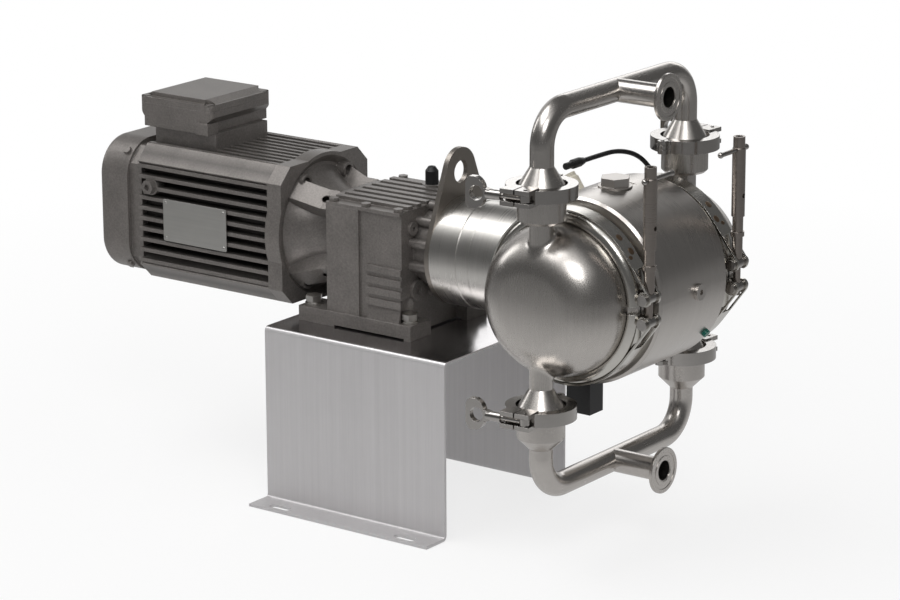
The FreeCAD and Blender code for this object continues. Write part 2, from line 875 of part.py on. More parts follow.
def motor_bell():
    """Drive-end bell: a rim ring, a hollow cone with four arms, and a square flange."""
    length = S["motor_bell_length"]
    rim = S["motor_rim_radius"]
    wall = S["bell_wall"]
    shield = S["shield_thick"] * 2
    seat = S["motor_shaft_radius"] + 13
    spigot = S["motor_bore_radius"] - 1
    throat = S["gear_neck_radius"] - 4
    back = length - BELL_FLANGE
    outside = [
        (0, -shield),
        (rim, -shield),
        (rim, 0),
        (rim - 4, 0),
        (rim - 12, -7.0),
        (rim - 16, -7.0),
        Arc(throat, back, -70.0),
        (throat, length),
        (0, length),
    ]
    hollow = [
        (0, -shield - 1),
        (spigot, -shield - 1),
        (spigot, -12.0),
        (seat, -12.0),
        (seat, 10.0),
        (seat + 7, 10.0),
        (seat + 7, 0),
        (rim - wall * 3 - 8, 0),
        Arc(throat - wall, back, -70.0),
        (throat - wall, length + 1),
        (0, length + 1),
    ]
    parts = [turned((RIM, 0, AXIS), "x", outside)]
    corner = common(
        padded((RIM - shield / 2, 0, AXIS), "YZ", octagon(S["motor_half"], S["motor_chamfer"]), shield),
        tube((RIM - shield, 0, AXIS), "x", S["motor_half"] * 1.5, rim - 1, shield),
    )
    parts.append(corner)
    flange = octagon(sized(52.0), sized(16.0))
    parts.append(padded((BELL_FACE - BELL_FLANGE / 2, 0, AXIS), "YZ", flange, BELL_FLANGE))
    arm = [
        (back + 1, throat - 3),
        (back + 1, BELL_BOLT_RING + 8),
        (back - 14, BELL_BOLT_RING + 8),
        (-9.0, rim - 6),
        (-9.0, throat - 3),
    ]
    for turn in (45, 135, 225, 315):
        web = padded((0, 0, 0), "XZ", arm, 26.0)
        parts.append(moved(web, (RIM, 0, AXIS), FreeCAD.Rotation(V(1, 0, 0), turn)))
    tools = [turned((RIM, 0, AXIS), "x", hollow)]
    for y, z in bell_bolt_places():
        tools.append(cylinder((BELL_FACE - BELL_FLANGE - 1, y, z), "x", BELL_BOLT + 0.4, BELL_FLANGE + 2))
        tools.append(cylinder((BELL_FACE - BELL_FLANGE, y, z), "-x", BELL_BOLT * 2.2, 30.0))
    for y, z in FRAME_SCREW_PLACES:
        parts.append(cylinder((RIM - 9, y, AXIS + z), "x", 9.0, 14.0))
        tools.append(cylinder((RIM - 1, y, AXIS + z), "x", 6.0, 7.0))
    return node("motor_bell", cut(fuse(parts), tools))


def motor_frame():
    half = S["motor_half"]
    length = S["motor_frame_length"]
    middle = FRAME_START + length / 2
    outer = padded((middle, 0, AXIS), "YZ", octagon(half, S["motor_chamfer"]), length)
    parts = [cylinder((FRAME_START, 0, AXIS), "x", S["motor_core_radius"], length)]
    for turn in (45, -45):
        rail = box((0, -13.0, -half * 1.5), (length, 26.0, half * 3))
        parts.append(moved(rail, (FRAME_START, 0, AXIS), FreeCAD.Rotation(V(1, 0, 0), turn)))
    for index in range(10):
        level = S["fin_pitch"] * (index - 4.5)
        parts.append(slab((middle, 0, AXIS + level), (length, half * 2, S["fin_thick"])))
        parts.append(slab((middle, level, AXIS), (length, S["fin_thick"], half * 2)))
    finned = common(outer, fuse(parts))
    neck = slab(
        (BOX_RIGHT - S["neck_length"] / 2, 0, (AXIS + S["motor_bore_radius"] + S["box_floor"]) / 2),
        (S["neck_length"], S["neck_width"], S["box_floor"] - AXIS - S["motor_bore_radius"]),
    )
    boss = cylinder(side_plug_spot(), "-y", 10.0, S["motor_half"] - S["motor_core_radius"] + 1)
    tools = [cylinder((FRAME_START - 1, 0, AXIS), "x", S["motor_bore_radius"], length + 2)]
    tools.append(cylinder(side_plug_spot(), "-y", 6.0, 40.0))
    return node("motor_frame", cut(fuse([finned, neck, boss]), tools))


def side_plug_spot():
    return FRAME_START + 18.5, -S["motor_core_radius"] + 1, AXIS + 33


def stator():
    length = S["stator_length"]
    start = FRAME_START + (S["motor_frame_length"] - length) / 2
    return node("stator", tube((start, 0, AXIS), "x", S["motor_bore_radius"], S["stator_bore"], length))


def rotor():
    """Rotor core on its shaft; the shaft runs from the fan to the pinion."""
    length = S["stator_length"]
    start = FRAME_START + (S["motor_frame_length"] - length) / 2
    shaft_start = fan_start() - 2
    shaft_end = STAGE_ONE + S["gear_width"]
    parts = [
        cylinder((shaft_start, 0, AXIS), "x", S["motor_shaft_radius"], STAGE_ONE - shaft_start),
        cylinder((STAGE_ONE - 1, 0, AXIS), "x", S["motor_shaft_radius"] * 0.75, shaft_end - STAGE_ONE + 1),
        cylinder((start, 0, AXIS), "x", S["stator_bore"] - S["air_gap"], length),
    ]
    return node("rotor", fuse(parts))


def rear_shield():
    """Rear end shield: a spigot in the frame, a web, and the rim that carries the cowl."""
    thick = S["cowl_gap"]
    rim = 12.0
    outline = octagon(S["motor_half"] - 6, S["motor_chamfer"])
    web = padded((FRAME_START - thick / 2, 0, AXIS), "YZ", outline, thick)
    seat = padded((cowl_front() - rim / 2, 0, AXIS), "YZ", cowl_outline(S["cowl_sheet"] + 0.1), rim)
    spigot = cylinder((FRAME_START - 1, 0, AXIS), "x", S["motor_bore_radius"], 9.0)
    tools = [
        cylinder((cowl_front() - rim - 1, 0, AXIS), "x", S["motor_shaft_radius"] + 1, rim + thick + 20),
        cylinder((FRAME_START - 1, 0, AXIS), "x", S["motor_shaft_radius"] + 13, 12.0),
        cylinder((cowl_front() - rim - 1, 0, AXIS), "x", S["fan_radius"] + 4, rim + 1),
    ]
    for y, z, a, b in cowl_screw_places():
        spin = FreeCAD.Rotation(V(0, 0, 1), V(0, a, b))
        tools.append(moved(cylinder((0, 0, -12.0), "z", 2.5, 20.0), (cowl_front() - 8, y, z), spin))
    return node("rear_shield", cut(fuse([web, seat, spigot]), tools))


def fan_start():
    return cowl_front() - 34


def cooling_fan():
    shaft = S["motor_shaft_radius"]
    start = fan_start()
    parts = [
        cylinder((start, 0, AXIS), "x", shaft + 6, 16.0),
        cylinder((start, 0, AXIS), "x", S["fan_radius"] * 0.8, 3.0),
    ]
    for index in range(7):
        blade = box((0, shaft * 0.4, -1.2), (16.0, S["fan_radius"] - shaft * 0.4, 2.4))
        parts.append(moved(blade, (start, 0, AXIS), FreeCAD.Rotation(V(1, 0, 0), 360 / 7 * index)))
    return node("cooling_fan", cut(fuse(parts), [cylinder((start - 1, 0, AXIS), "x", shaft, 20.0)]))


def cowl_front():
    return FRAME_START - S["cowl_gap"]


def cowl_outline(inset):
    half = S["cowl_half"] - inset
    return soft_rectangle(half, half, S["cowl_corner"] - inset)


def cowl_screw_places():
    """Screws at the cowl's four corners: y, height and the way each faces."""
    reach = S["cowl_half"] - S["cowl_corner"] * (1 - math.sqrt(0.5))
    return [(reach * a, AXIS + reach * b, a, b) for a in (-1, 1) for b in (-1, 1)]


def fan_cowl():
    length = S["cowl_length"]
    start = cowl_front() - length
    shell = padded((start + length / 2, 0, AXIS), "YZ", cowl_outline(0), length)
    doc.recompute()
    shell = rounded(shell, 9.0, lambda edge: edge.CenterOfMass.x < -length.number / 2 + 0.01)
    room = padded((start + length / 2 + S["cowl_sheet"], 0, AXIS), "YZ", cowl_outline(S["cowl_sheet"]), length)
    room = rounded(room, 9.0 - S["cowl_sheet"], lambda edge: edge.CenterOfMass.x < -length.number / 2 + 0.01)
    tools = [room]
    for ring in range(1, 5):
        reach = 12.0 * ring
        tools.append(tube((start - 1, 0, AXIS), "x", reach + 3.5, reach - 3.5, S["cowl_sheet"] + 2))
    for y, z, a, b in cowl_screw_places():
        spin = FreeCAD.Rotation(V(0, 0, 1), V(0, a, b))
        tools.append(moved(cylinder((0, 0, -8.0), "z", 2.5, 20.0), (cowl_front() - 8, y, z), spin))
    opened = cut(shell, tools)
    spokes = []
    for turn in (0, 45, 90, 135):
        spoke = slab((S["cowl_sheet"] / 2, 0, 0), (S["cowl_sheet"], 106.0, 4.0))
        spokes.append(moved(spoke, (start, 0, AXIS), FreeCAD.Rotation(V(1, 0, 0), turn)))
    return node("fan_cowl", fuse([opened] + spokes))


def lid_seat():
    return S["box_lid_rim"] + S["box_lid_thick"] * 0.6


def box_middle():
    return BOX_RIGHT - S["box_length"] / 2


def lid_screw_places():
    inset = 7.0
    return [
        (box_middle() + (S["box_length"] / 2 - inset) * a, (S["box_width"] / 2 - inset) * b)
        for a in (-1, 1)
        for b in (-1, 1)
    ]


def terminal_box():
    """Box with a straight rim, ends that slope in below it and a block at its front corner."""
    rim = S["box_lid_rim"]
    flare = S["box_flare"]
    floor = S["box_floor"]
    wall = S["box_wall"]
    width = S["box_width"]
    half = S["box_length"] / 2
    middle = box_middle()
    shoulder = rim - S["box_rim_depth"]
    side = [
        (half, shoulder),
        (half, rim),
        (-half, rim),
        (-half, shoulder),
        (-half + flare, shoulder - flare),
        (-half + flare, floor),
        (half - flare, floor),
        (half - flare, shoulder - flare),
    ]
    plan = soft_rectangle(half, width / 2, S["box_corner"])
    body = common(
        padded((middle, 0, 0), "XZ", side, width),
        padded((middle, 0, (rim + floor) / 2), "XY", plan, rim - floor),
    )
    corner = (BOX_RIGHT - flare - 3, -(width / 2 - 6), floor + 6.5)
    block = slab(corner, (18.0, 18.0, 13.0))
    room = (half * 2 - (flare + wall) * 2, width - (flare + wall) * 2, (rim - floor - wall) * 2)
    tools = [slab((middle, 0, rim), room)]
    for x, y in lid_screw_places():
        tools.append(cylinder((x, y, rim - 12), "z", LID_SCREW, 13.0))
    return node("terminal_box", cut(fuse([body, block]), tools))


LID_SCREW = 2.5


def terminal_box_lid():
    rim = S["box_lid_rim"]
    thick = S["box_lid_thick"]
    half = S["box_length"] / 2
    width = S["box_width"]
    middle = box_middle()
    plan = soft_rectangle(half, width / 2, S["box_corner"])
    plate = padded((middle, 0, rim + thick / 2), "XY", plan, thick)
    crown = padded(
        (middle, 0, rim + thick),
        "XZ",
        [
            (-half + 3, 0),
            (half - 3, 0),
            (half - 14, S["box_panel"]),
            (-half + 14, S["box_panel"]),
        ],
        width - 14,
    )
    tools = []
    for x, y in lid_screw_places():
        tools.append(cylinder((x, y, lid_seat()), "z", LID_SCREW * 2.6, thick + S["box_panel"]))
        tools.append(cylinder((x, y, rim - 1), "z", LID_SCREW, thick + 2))
    return node("terminal_box_lid", cut(fuse([plate, crown]), tools))


# Round plugs: two on the gearbox's output face and one in the motor's side
def drain_plugs():
    parts = []
    for y, z, radius, depth in gearbox_plug_places():
        body = fuse([cylinder((BODY_END - depth, y, z), "x", radius, depth), cylinder((BODY_END, y, z), "x", radius + 2, 4.0)])
        parts.append(cut(body, [prism((BODY_END + 1, y, z), "x", radius * 0.45, 4.0)]))
    spot = side_plug_spot()
    head = prism((spot[0], -S["motor_half"], spot[2]), "-y", 8.5, 7.0)
    shank = fuse([cylinder(spot, "-y", 6.0, S["motor_half"] - S["motor_core_radius"] + 1), head])
    parts.append(cut(shank, [prism((spot[0], -S["motor_half"] - 3, spot[2]), "-y", 4.0, 5.0)]))
    return node("drain_plugs", together(parts))


# Lifting plate between the reducer and the drive adapter
def lifting_plate():
    disc = S["adapter_radius"]
    rise = S["lifting_height"]
    rim = S["lifting_rim"]
    lean = (disc.number - rim.number) / rise.number
    side = math.sqrt(1 - lean * lean)
    outline = [
        (rim * side, rise + rim * lean),
        Arc(-rim * side, rise + rim * lean, rim),
        (-disc * side, disc * lean),
        Arc(0, -disc, disc),
        Arc(disc * side, disc * lean, disc),
    ]
    plate = padded(
        (S["adapter_start"] - S["lifting_plate"] / 2, 0, AXIS),
        "YZ",
        outline,
        S["lifting_plate"],
        holes=[(0, rise, S["lifting_hole"] / 2), (0, 0, seal_radius() + 4)],
    )
    return node("lifting_plate", plate)


def drive_adapter():
    """Turned drum between the reducer and the pump, with a shallow band round its middle."""
    radius = S["adapter_radius"]
    wall = S["adapter_wall"]
    length = S["adapter_end"] - S["adapter_start"]
    web = length - 18
    outline = [
        (seal_radius() + 4, 0),
        (radius, 0),
        (radius, length * 0.37),
        (radius - 0.8, length * 0.38),
        (radius - 0.8, length * 0.54),
        (radius, length * 0.55),
        (radius, length),
        (radius - wall, length),
        (radius - wall, web + 14),
        (output_bearing_radius(), web + 14),
        (output_bearing_radius(), web + 2),
        (S["output_radius"] + 3, web + 2),
        (S["output_radius"] + 3, web - 4),
        (radius - wall, web - 4),
        (radius - wall, wall * 1.5),
        (seal_radius() + 4, wall * 1.5),
    ]
    return node("drive_adapter", turned((S["adapter_start"], 0, AXIS), "x", outline))


# Pump body
def v_flange(first, side):
    """Half of a clamped joint: a rim whose back slopes away from the clamp plane."""
    land = S["flange_land"]
    slope = S["flange_slope"]
    rim = S["flange_radius"]
    return [(rim, first), (rim, first + land * side), (rim - slope, first + (land + slope) * side)]


def pump_housing():
    half = S["housing_half"]
    outer = S["housing_radius"]
    collar = S["neck_collar"]
    plane = S["clamp_plane"] - S["diaphragm_thick"] / 2
    edge = 3.0
    right = v_flange(plane, -1)
    left = v_flange(-plane, 1)
    recess = S["disc_radius"] + 22
    floor = S["clamp_plane"] - 20
    outline = [
        (0, -floor),
        (recess, -floor),
        (recess + 10, -plane),
        *left,
        (collar, left[2][1]),
        (collar, -half),
        (outer - edge, -half),
        (outer, -half + edge),
        (outer, half - edge),
        (outer - edge, half),
        (collar, half),
        (collar, right[2][1]),
        right[2],
        right[1],
        right[0],
        (recess + 10, plane),
        (recess, floor),
        (0, floor),
    ]
    drum = turned((PUMP, 0, AXIS), "y", outline)
    neck = cylinder((S["adapter_end"], 0, AXIS), "x", S["adapter_radius"], PUMP - S["adapter_end"])
    body = fuse([drum, common(neck, cylinder((PUMP, -half + 2, AXIS), "y", PUMP - S["adapter_end"] + 1, half * 2 - 4))])
    tools = [
        cylinder((PUMP, -S["cavity_half"], AXIS), "y", S["cavity_radius"], S["cavity_half"] * 2),
        cylinder((PUMP, -S["clamp_plane"], AXIS), "y", S["rod_radius"] + S["fit_gap"], S["clamp_plane"] * 2),
        cylinder((S["adapter_end"] - 1, 0, AXIS), "x", S["adapter_radius"] - S["adapter_wall"] * 2, PUMP - S["adapter_end"]),
        cylinder((PUMP, 0, AXIS + outer - 14), "z", HOUSING_PLUG, 16.0),
        cylinder((PUMP + outer - 14, 7.0, AXIS - 1), "x", SIDE_PLUG, 16.0),
        slab((PUMP, 0, AXIS + outer + 10), (S["plug_hex"] + 12, S["plug_hex"] + 12, sized(20.0) + 2.4)),
    ]
    tools.append(moved(cylinder((0, 0, -9.0), "z", STOP_PLUG, 20.0), *stop_place()))
    x, z, spin = sensor_frame()
    seat = fuse([cylinder((0, 0, -6.0), "z", 7.0, 6.0), cylinder((0, 0, 0), "z", 9.5, 8.0)])
    tools.append(moved(seat, (x, SENSOR_Y, z), spin))
    return node("pump_housing", cut(body, tools))


HOUSING_PLUG = 10.0
SIDE_PLUG = 6.0
STOP_PLUG = 4.5


def stop_place():
    """Place and turn of the small stopper low on the housing's far side."""
    turn = math.radians(-35)
    reach = S["housing_radius"]
    at = (PUMP + reach * math.cos(turn), 50.0, AXIS + reach * math.sin(turn))
    return at, FreeCAD.Rotation(V(0, 0, 1), V(math.cos(turn), 0, math.sin(turn)))


def housing_plugs():
    """Hexagon filling plug on top of the housing and a socket plug in its side."""
    outer = S["housing_radius"]
    flat = AXIS + outer - 1.2
    top = fuse(
        [
            cylinder((PUMP, 0, flat - 12), "z", HOUSING_PLUG, 12.0),
            cylinder((PUMP, 0, flat), "z", S["plug_hex"] * 0.62, 1.6),
            prism((PUMP, 0, flat + 1.6), "z", S["plug_hex"] * 0.56, 9.0),
        ]
    )
    face = PUMP + outer
    side = fuse([cylinder((face - 12, 7.0, AXIS - 1), "x", SIDE_PLUG, 12.0), cylinder((face, 7.0, AXIS - 1), "x", 9.0, 4.0)])
    side = cut(side, [prism((face + 1, 7.0, AXIS - 1), "x", 3.4, 6.0)])
    stop = moved(turned((0, 0, 0), "z", [(0, -9.0), (STOP_PLUG, -9.0), (STOP_PLUG, 4.0), (0, 4.0)]), *stop_place())
    return node("housing_plugs", together([top, side, stop]))


def diaphragm(side):
    """Rubber diaphragm: a clamped rim, one rolled wave and a flat middle."""
    t = S["diaphragm_thick"]
    disc = S["disc_radius"]
    wave = disc + 12
    rim = S["flange_radius"] - 1
    outline = [
        (S["rod_radius"], -t / 2),
        (disc + 2, -t / 2),
        (wave, t * 1.2),
        (wave + 8, t * 1.2),
        (rim - 12, -t / 2),
        (rim, -t / 2),
        (rim, t / 2),
        (rim - 12, t / 2),
        (wave + 8, t * 2.2),
        (wave, t * 2.2),
        (disc + 2, t / 2),
        (S["rod_radius"], t / 2),
    ]
    label = "front_diaphragm" if side < 0 else "rear_diaphragm"
    axis = "-y" if side < 0 else "y"
    return node(label, turned((PUMP, S["clamp_plane"] * side, AXIS), axis, outline))


def diaphragm_discs():
    t = S["diaphragm_thick"]
    thick = S["disc_thick"]
    disc = S["disc_radius"]
    parts = []
    for side, axis in ((-1, "-y"), (1, "y")):
        at = (PUMP, S["clamp_plane"] * side, AXIS)
        inner = [(S["rod_radius"], -t / 2 - thick), (disc - 10, -t / 2 - thick), (disc, -t / 2 - 2), (disc, -t / 2), (S["rod_radius"], -t / 2)]
        outer = [(0, t / 2), (disc, t / 2), (disc, t / 2 + 2), (disc - 12, t / 2 + thick), (0, t / 2 + thick)]
        parts.append(turned(at, axis, inner))
        parts.append(turned(at, axis, outer))
    return node("diaphragm_discs", together(parts))


def shuttle_yoke():
    """Slotted yoke with the rod that carries both diaphragms; the crank runs in its slot."""
    slot_y = S["bearing_radius"] + S["throw"] * 2 + 0.5
    slot_z = S["bearing_radius"] + S["throw"] + 1.5
    frame_y = slot_y + 7
    block = slab((PUMP, 0, AXIS), (S["crank_width"] - 4, frame_y * 2, slot_z * 2 + 16))
    slot = slab((PUMP, 0, AXIS), (S["crank_width"] * 2, slot_y * 2, slot_z * 2))
    parts = [cut(block, [slot])]
    reach = S["clamp_plane"] + S["diaphragm_thick"] / 2
    for side, axis in ((-1, "-y"), (1, "y")):
        parts.append(cylinder((PUMP, (frame_y - 1) * side, AXIS), axis, S["rod_radius"], reach - frame_y + 1))
    return node("shuttle_yoke", fuse(parts))


def crank_bearing():
    at = (PUMP - S["crank_width"] / 2, 0, AXIS + S["throw"])
    return node("crank_bearing", tube(at, "x", S["bearing_radius"], S["crank_radius"], S["crank_width"]))


# Dished cover with its two valve necks
def dish_outline(radius, knuckle, crown, start):
    """Knuckle and crown of a dished end, from the end of its straight wall to the axis."""
    span = radius - knuckle
    slope = root((crown - knuckle) * (crown - knuckle) - span * span)
    meet = crown / (crown - knuckle)
    return [
        (radius, start),
        Arc(span * meet, start + slope * (meet - 1), knuckle),
        Arc(0, start - slope + crown, crown),
    ]


def neck_fillets(body, y):
    """Rounds the creases where the two valve necks leave the dish."""
    doc.recompute()
    picked = []
    for index, edge in enumerate(body.Shape.Edges, start=1):
        bounds = edge.BoundBox
        if bounds.ZLength < 1 or bounds.XLength < 1:
            continue
        steps = [edge.FirstParameter + (edge.LastParameter - edge.FirstParameter) * i / 8 for i in range(9)]
        spots = [edge.valueAt(step) for step in steps]
        reaches = [math.hypot(spot.x - PUMP.number, spot.y - sized(y).number) for spot in spots]
        if all(abs(reach - S["pipe_radius"].number) < 0.02 for reach in reaches):
            picked.append(index)
    if not picked:
        raise ValueError("no neck crease was found")
    fillet = S["neck_fillet"].number
    obj = doc.addObject("Part::Fillet", fresh("Fillet"))
    obj.Base = body
    obj.Edges = [(index, fillet, fillet) for index in picked]
    return obj


def cover(side):
    wall = S["dish_wall"]
    radius = S["dish_radius"]
    knuckle = S["dish_knuckle"]
    crown = S["dish_crown"]
    start = S["dish_straight"]
    seat = S["clamp_plane"] + S["diaphragm_thick"] / 2
    dish = dish_outline(radius, knuckle, crown, start)
    hollow = dish_outline(radius - wall, knuckle - wall, crown - wall, start)
    label = "front_cover" if side < 0 else "rear_cover"
    axis = "-y" if side < 0 else "y"
    rim = v_flange(seat, 1)
    outside = turned((PUMP, 0, AXIS), axis, [(0, seat), *rim, (radius, rim[2][1]), *dish])
    inside = turned((PUMP, 0, AXIS), axis, [(0, seat - 1), (radius - wall, seat - 1), *hollow])
    y = S["valve_offset"] * side
    pipe = S["pipe_radius"]
    joint_top = AXIS + S["joint_rise"]
    joint_low = AXIS - S["joint_drop"]
    gasket = S["gasket_thick"] / 2
    cup_floor = joint_top - S["cup_length"]
    cup = S["ferrule_cup"]
    lip = S["ferrule_lip"]
    inner = pipe - S["pipe_wall"]
    upper = [
        cylinder((PUMP, y, AXIS + 30), "z", pipe, cup_floor - AXIS - 29),
        cone((PUMP, y, cup_floor), "z", cup - 3, cup, 3.0),
        cylinder((PUMP, y, cup_floor + 3), "z", cup, S["cup_length"] - 3 - gasket),
        cylinder((PUMP, y, joint_top - gasket - lip), "z", S["ferrule_big"], lip),
    ]
    low_ferrule = joint_low + gasket
    lower = [
        cylinder((PUMP, y, low_ferrule + S["cone_length"] - 1), "z", pipe, AXIS - 30 - low_ferrule - S["cone_length"] + 1),
        cone((PUMP, y, low_ferrule + lip), "z", cup, pipe, S["cone_length"] - lip),
        cylinder((PUMP, y, low_ferrule), "z", S["ferrule_big"], lip),
    ]
    body = neck_fillets(fuse([outside] + upper + lower), y)
    wall_in = cup - S["pipe_wall"]
    bores = [
        cylinder((PUMP, y, AXIS), "z", inner, S["joint_rise"]),
        cylinder((PUMP, y, joint_low), "z", inner, S["joint_drop"] + 1),
        cylinder((PUMP, y, cup_floor + S["pipe_wall"]), "z", wall_in, S["cup_length"]),
        cone((PUMP, y, low_ferrule), "z", wall_in, inner, S["cone_length"] - 2),
    ]
    return node(label, cut(body, [inside] + bores))


# Ball valves: the ball sits on the bore below it with a hair of clearance
def seat_rise():
    bore = S["pipe_radius"] - S["pipe_wall"]
    return across(S["ball_radius"], bore) + S["ball_gap"]


def balls():
    for name, side in (("front", -1), ("rear", 1)):
        y = S["valve_offset"] * side
        top = AXIS + S["joint_rise"] - S["cup_length"] + S["pipe_wall"]
        node("discharge_ball_" + name, ball((PUMP, y, top + seat_rise()), S["ball_radius"]))
        node("suction_ball_" + name, ball((PUMP, y, suction_seat() + seat_rise()), S["ball_radius"]))


def suction_seat():
    """Height of the bore's edge that the lower balls sit on."""
    face = AXIS - S["joint_drop"] - S["gasket_thick"] / 2
    return face - S["suction_cup"] + S["pipe_wall"] - seat_cone()


def seat_cone():
    return S["cup_taper"] - S["pipe_wall"] * 2


def valve_gaskets():
    parts = []
    for side in (-1, 1):
        for middle in (AXIS + S["joint_rise"], AXIS - S["joint_drop"]):
            z = middle - S["gasket_thick"] / 2
            at = (PUMP, S["valve_offset"] * side, z)
            parts.append(tube(at, "z", S["ferrule_big"], S["ferrule_cup"] - S["pipe_wall"], S["gasket_thick"]))
    return node("valve_gaskets", together(parts))


# Manifolds: two elbows, a straight run and a branch with a ferrule
def manifold_route(radius, level, joint):
    """The pipe's path swept from one ferrule to the other."""
    bend = S["elbow_radius"].number
    y = S["valve_offset"].number
    x = PUMP.number
    z = sized(level).number
    foot = sized(joint).number
    up = 1 if z > foot else -1
    corner = bend * (1 - math.sqrt(0.5))
    ends = [V(x, -y, foot), V(x, -y, z - bend * up)]
    run = [V(x, -y + bend, z), V(x, y - bend, z)]
    back = [V(x, y, z - bend * up), V(x, y, foot)]
    edges = [
        Part.LineSegment(ends[0], ends[1]).toShape(),
        Part.Arc(ends[1], V(x, -y + corner, z - corner * up), run[0]).toShape(),
        Part.LineSegment(run[0], run[1]).toShape(),
        Part.Arc(run[1], V(x, y - corner, z - corner * up), back[0]).toShape(),
        Part.LineSegment(back[0], back[1]).toShape(),
    ]
    circle = Part.Wire([Part.Circle(ends[0], V(0, 0, 1), sized(radius).number).toShape()])
    return Part.Wire(edges).makePipeShell([circle], True, True)


def swept(radius, level, joint):
    obj = doc.addObject("Part::Feature", fresh("Pipe"))
    obj.Shape = manifold_route(radius, level, joint)
    return obj


def manifold(label, up):
    pipe = S["pipe_radius"]
    inner = pipe - S["pipe_wall"]
    gasket = S["gasket_thick"] / 2
    if up > 0:
        level = AXIS + S["manifold_rise"]
        face = AXIS + S["joint_rise"] + gasket
        depth = S["cone_length"]
    else:
        level = AXIS - S["manifold_drop"]
        face = AXIS - S["joint_drop"] - gasket
        depth = S["suction_cup"] + S["cup_taper"]
    cup = S["ferrule_cup"]
    wall = S["pipe_wall"]
    lip = S["ferrule_lip"]
    axis = "z" if up > 0 else "-z"
    outer = [swept(pipe, level, face + (depth - 2) * up)]
    bores = [swept(inner, level, face)]
    for side in (-1, 1):
        y = S["valve_offset"] * side
        outer.append(cylinder((PUMP, y, face), axis, S["ferrule_big"], lip))
        if up > 0:
            outer.append(cone((PUMP, y, face + lip), axis, cup, pipe, depth - lip))
            bores.append(cone((PUMP, y, face), axis, cup - wall, inner, depth - 2))
            continue
        straight = S["suction_cup"]
        outer.append(cylinder((PUMP, y, face), axis, cup, straight))
        outer.append(cone((PUMP, y, face - straight), axis, cup, pipe, S["cup_taper"]))
        bores.append(cylinder((PUMP, y, face), axis, cup - wall, straight - wall))
        bores.append(cone((PUMP, y, face - straight + wall), axis, cup - wall, inner + 4, seat_cone()))
    branch = S["branch_reach"]
    small = S["ferrule_small"]
    outer.append(cylinder((PUMP, 0, level), "x", pipe, branch - 1))
    outer.append(cone((PUMP + branch - lip - 3, 0, level), "x", pipe, small - 1.5, 3.0))
    outer.append(cylinder((PUMP + branch - lip, 0, level), "x", small, lip))
    bores.append(cylinder((PUMP, 0, level), "x", inner, branch + 1))
    return node(label, cut(fuse(outer), bores))


# Two-piece pipe clamps with a swing bolt and a wing nut
CLAMPS = {
    "front": (-1, 1, S["jaw_turn"].number),
    "rear": (1, -1, 180 - S["jaw_turn"].number),
}


def clamp_places():
    """Each pipe clamp: its name, its middle, the hand of its bolt and its turn."""
    found = []
    for level_name, level in (("upper", AXIS + S["joint_rise"]), ("lower", AXIS - S["joint_drop"])):
        for name, (side, hand, turn) in CLAMPS.items():
            at = (PUMP, S["valve_offset"] * side, level)
            found.append((name + "_" + level_name, at, hand, turn))
    return found


EAR_JOINT = -5.0
EAR_SPLIT = 1.6
HINGE_PIN = 2.2


def span(first, last, hand):
    """Low end and length of a stretch along local X, mirrored for the other hand."""
    first, last = sized(first), sized(last)
    low = first if hand > 0 else -last
    return low, last - first


def jaw(hand, near):
    """One clamp half about the local Z axis; the ears point along local -Y."""
    height = S["jaw_height"]
    outer = S["jaw_radius"]
    rim = S["ferrule_big"] + 0.3
    groove = S["ferrule_lip"] * 2 + S["gasket_thick"] + 0.6
    throat = S["ferrule_cup"] + 1.2
    outline = [
        (throat, -height / 2),
        (outer, -height / 2),
        (outer, height / 2),
        (throat, height / 2),
        (throat, height / 2 - 1),
        (rim, groove / 2),
        (rim, -groove / 2),
        (throat, -height / 2 + 1),
    ]
    ring = turned((0, 0, 0), "z", outline)
    ear = S["jaw_ear"]
    edge = ear + 6
    side = -hand if near else hand
    split = EAR_SPLIT / 2
    if near:
        low, length = span(EAR_JOINT - split - S["near_ear"], EAR_JOINT - split, hand)
        away, width = span(EAR_JOINT - split, 80.0, hand)
    else:
        low, length = span(EAR_JOINT + split, EAR_JOINT + split + S["far_ear"], hand)
        away, width = span(-80.0, EAR_JOINT + split, hand)
    tall = S["ear_height"]
    inner = outer * 0.72
    lug = box((low, -edge, -tall / 2), (length, edge - inner, tall))
    slot_floor = ear - S["swing_radius"] - 3.2
    slot_half = S["swing_radius"] + 1.2
    tools = [
        box((away, -edge - 10, -tall), (width, edge + 10, tall * 2)),
        box((low - 5, -edge - 10, -slot_half), (length + 10, edge + 10 - slot_floor, slot_half * 2)),
        cylinder((0, 0, -height), "z", throat, height * 2),
        box((0.4 if side < 0 else -80.4, -1, -tall), (80.0, 80.0, tall * 2)),
    ]
    half = fuse([ring, lug])
    if not near:
        pin = cylinder((S["swing_pin"] * hand, -ear, -tall), "z", PIN_RADIUS, tall * 2)
        tools.append(pin)
    shell = cut(half, tools)
    groove_ring = tube((0, 0, -groove / 2), "z", rim, throat - 1, groove)
    shell = cut(shell, [groove_ring])
    return fuse([shell, hinge_knuckle(near, side)])


def hinge_knuckle(near, side):
    """Hinge end of a clamp half: the near half has the middle knuckle, the far half the outer two."""
    height = S["jaw_height"]
    outer = S["jaw_radius"]
    third = height / 3
    parts = []
    levels = [-third / 2 + 0.2] if near else [-height / 2, third / 2 + 0.2]
    for low in levels:
        tall = third - 0.4 if near else third - 0.2
        knuckle = cylinder((0, outer + 2, low), "z", 5.2, tall)
        reach = box((0 if side > 0 else -9.0, outer - 7, low), (9.0, 7.6, tall))
        tools = [
            cylinder((0, outer + 2, -height), "z", HINGE_PIN, height * 2),
            cylinder((0, 0, -height), "z", outer - 3, height * 2),
        ]
        parts.append(cut(fuse([knuckle, reach]), tools))
    return fuse(parts)


PIN_RADIUS = 2.0


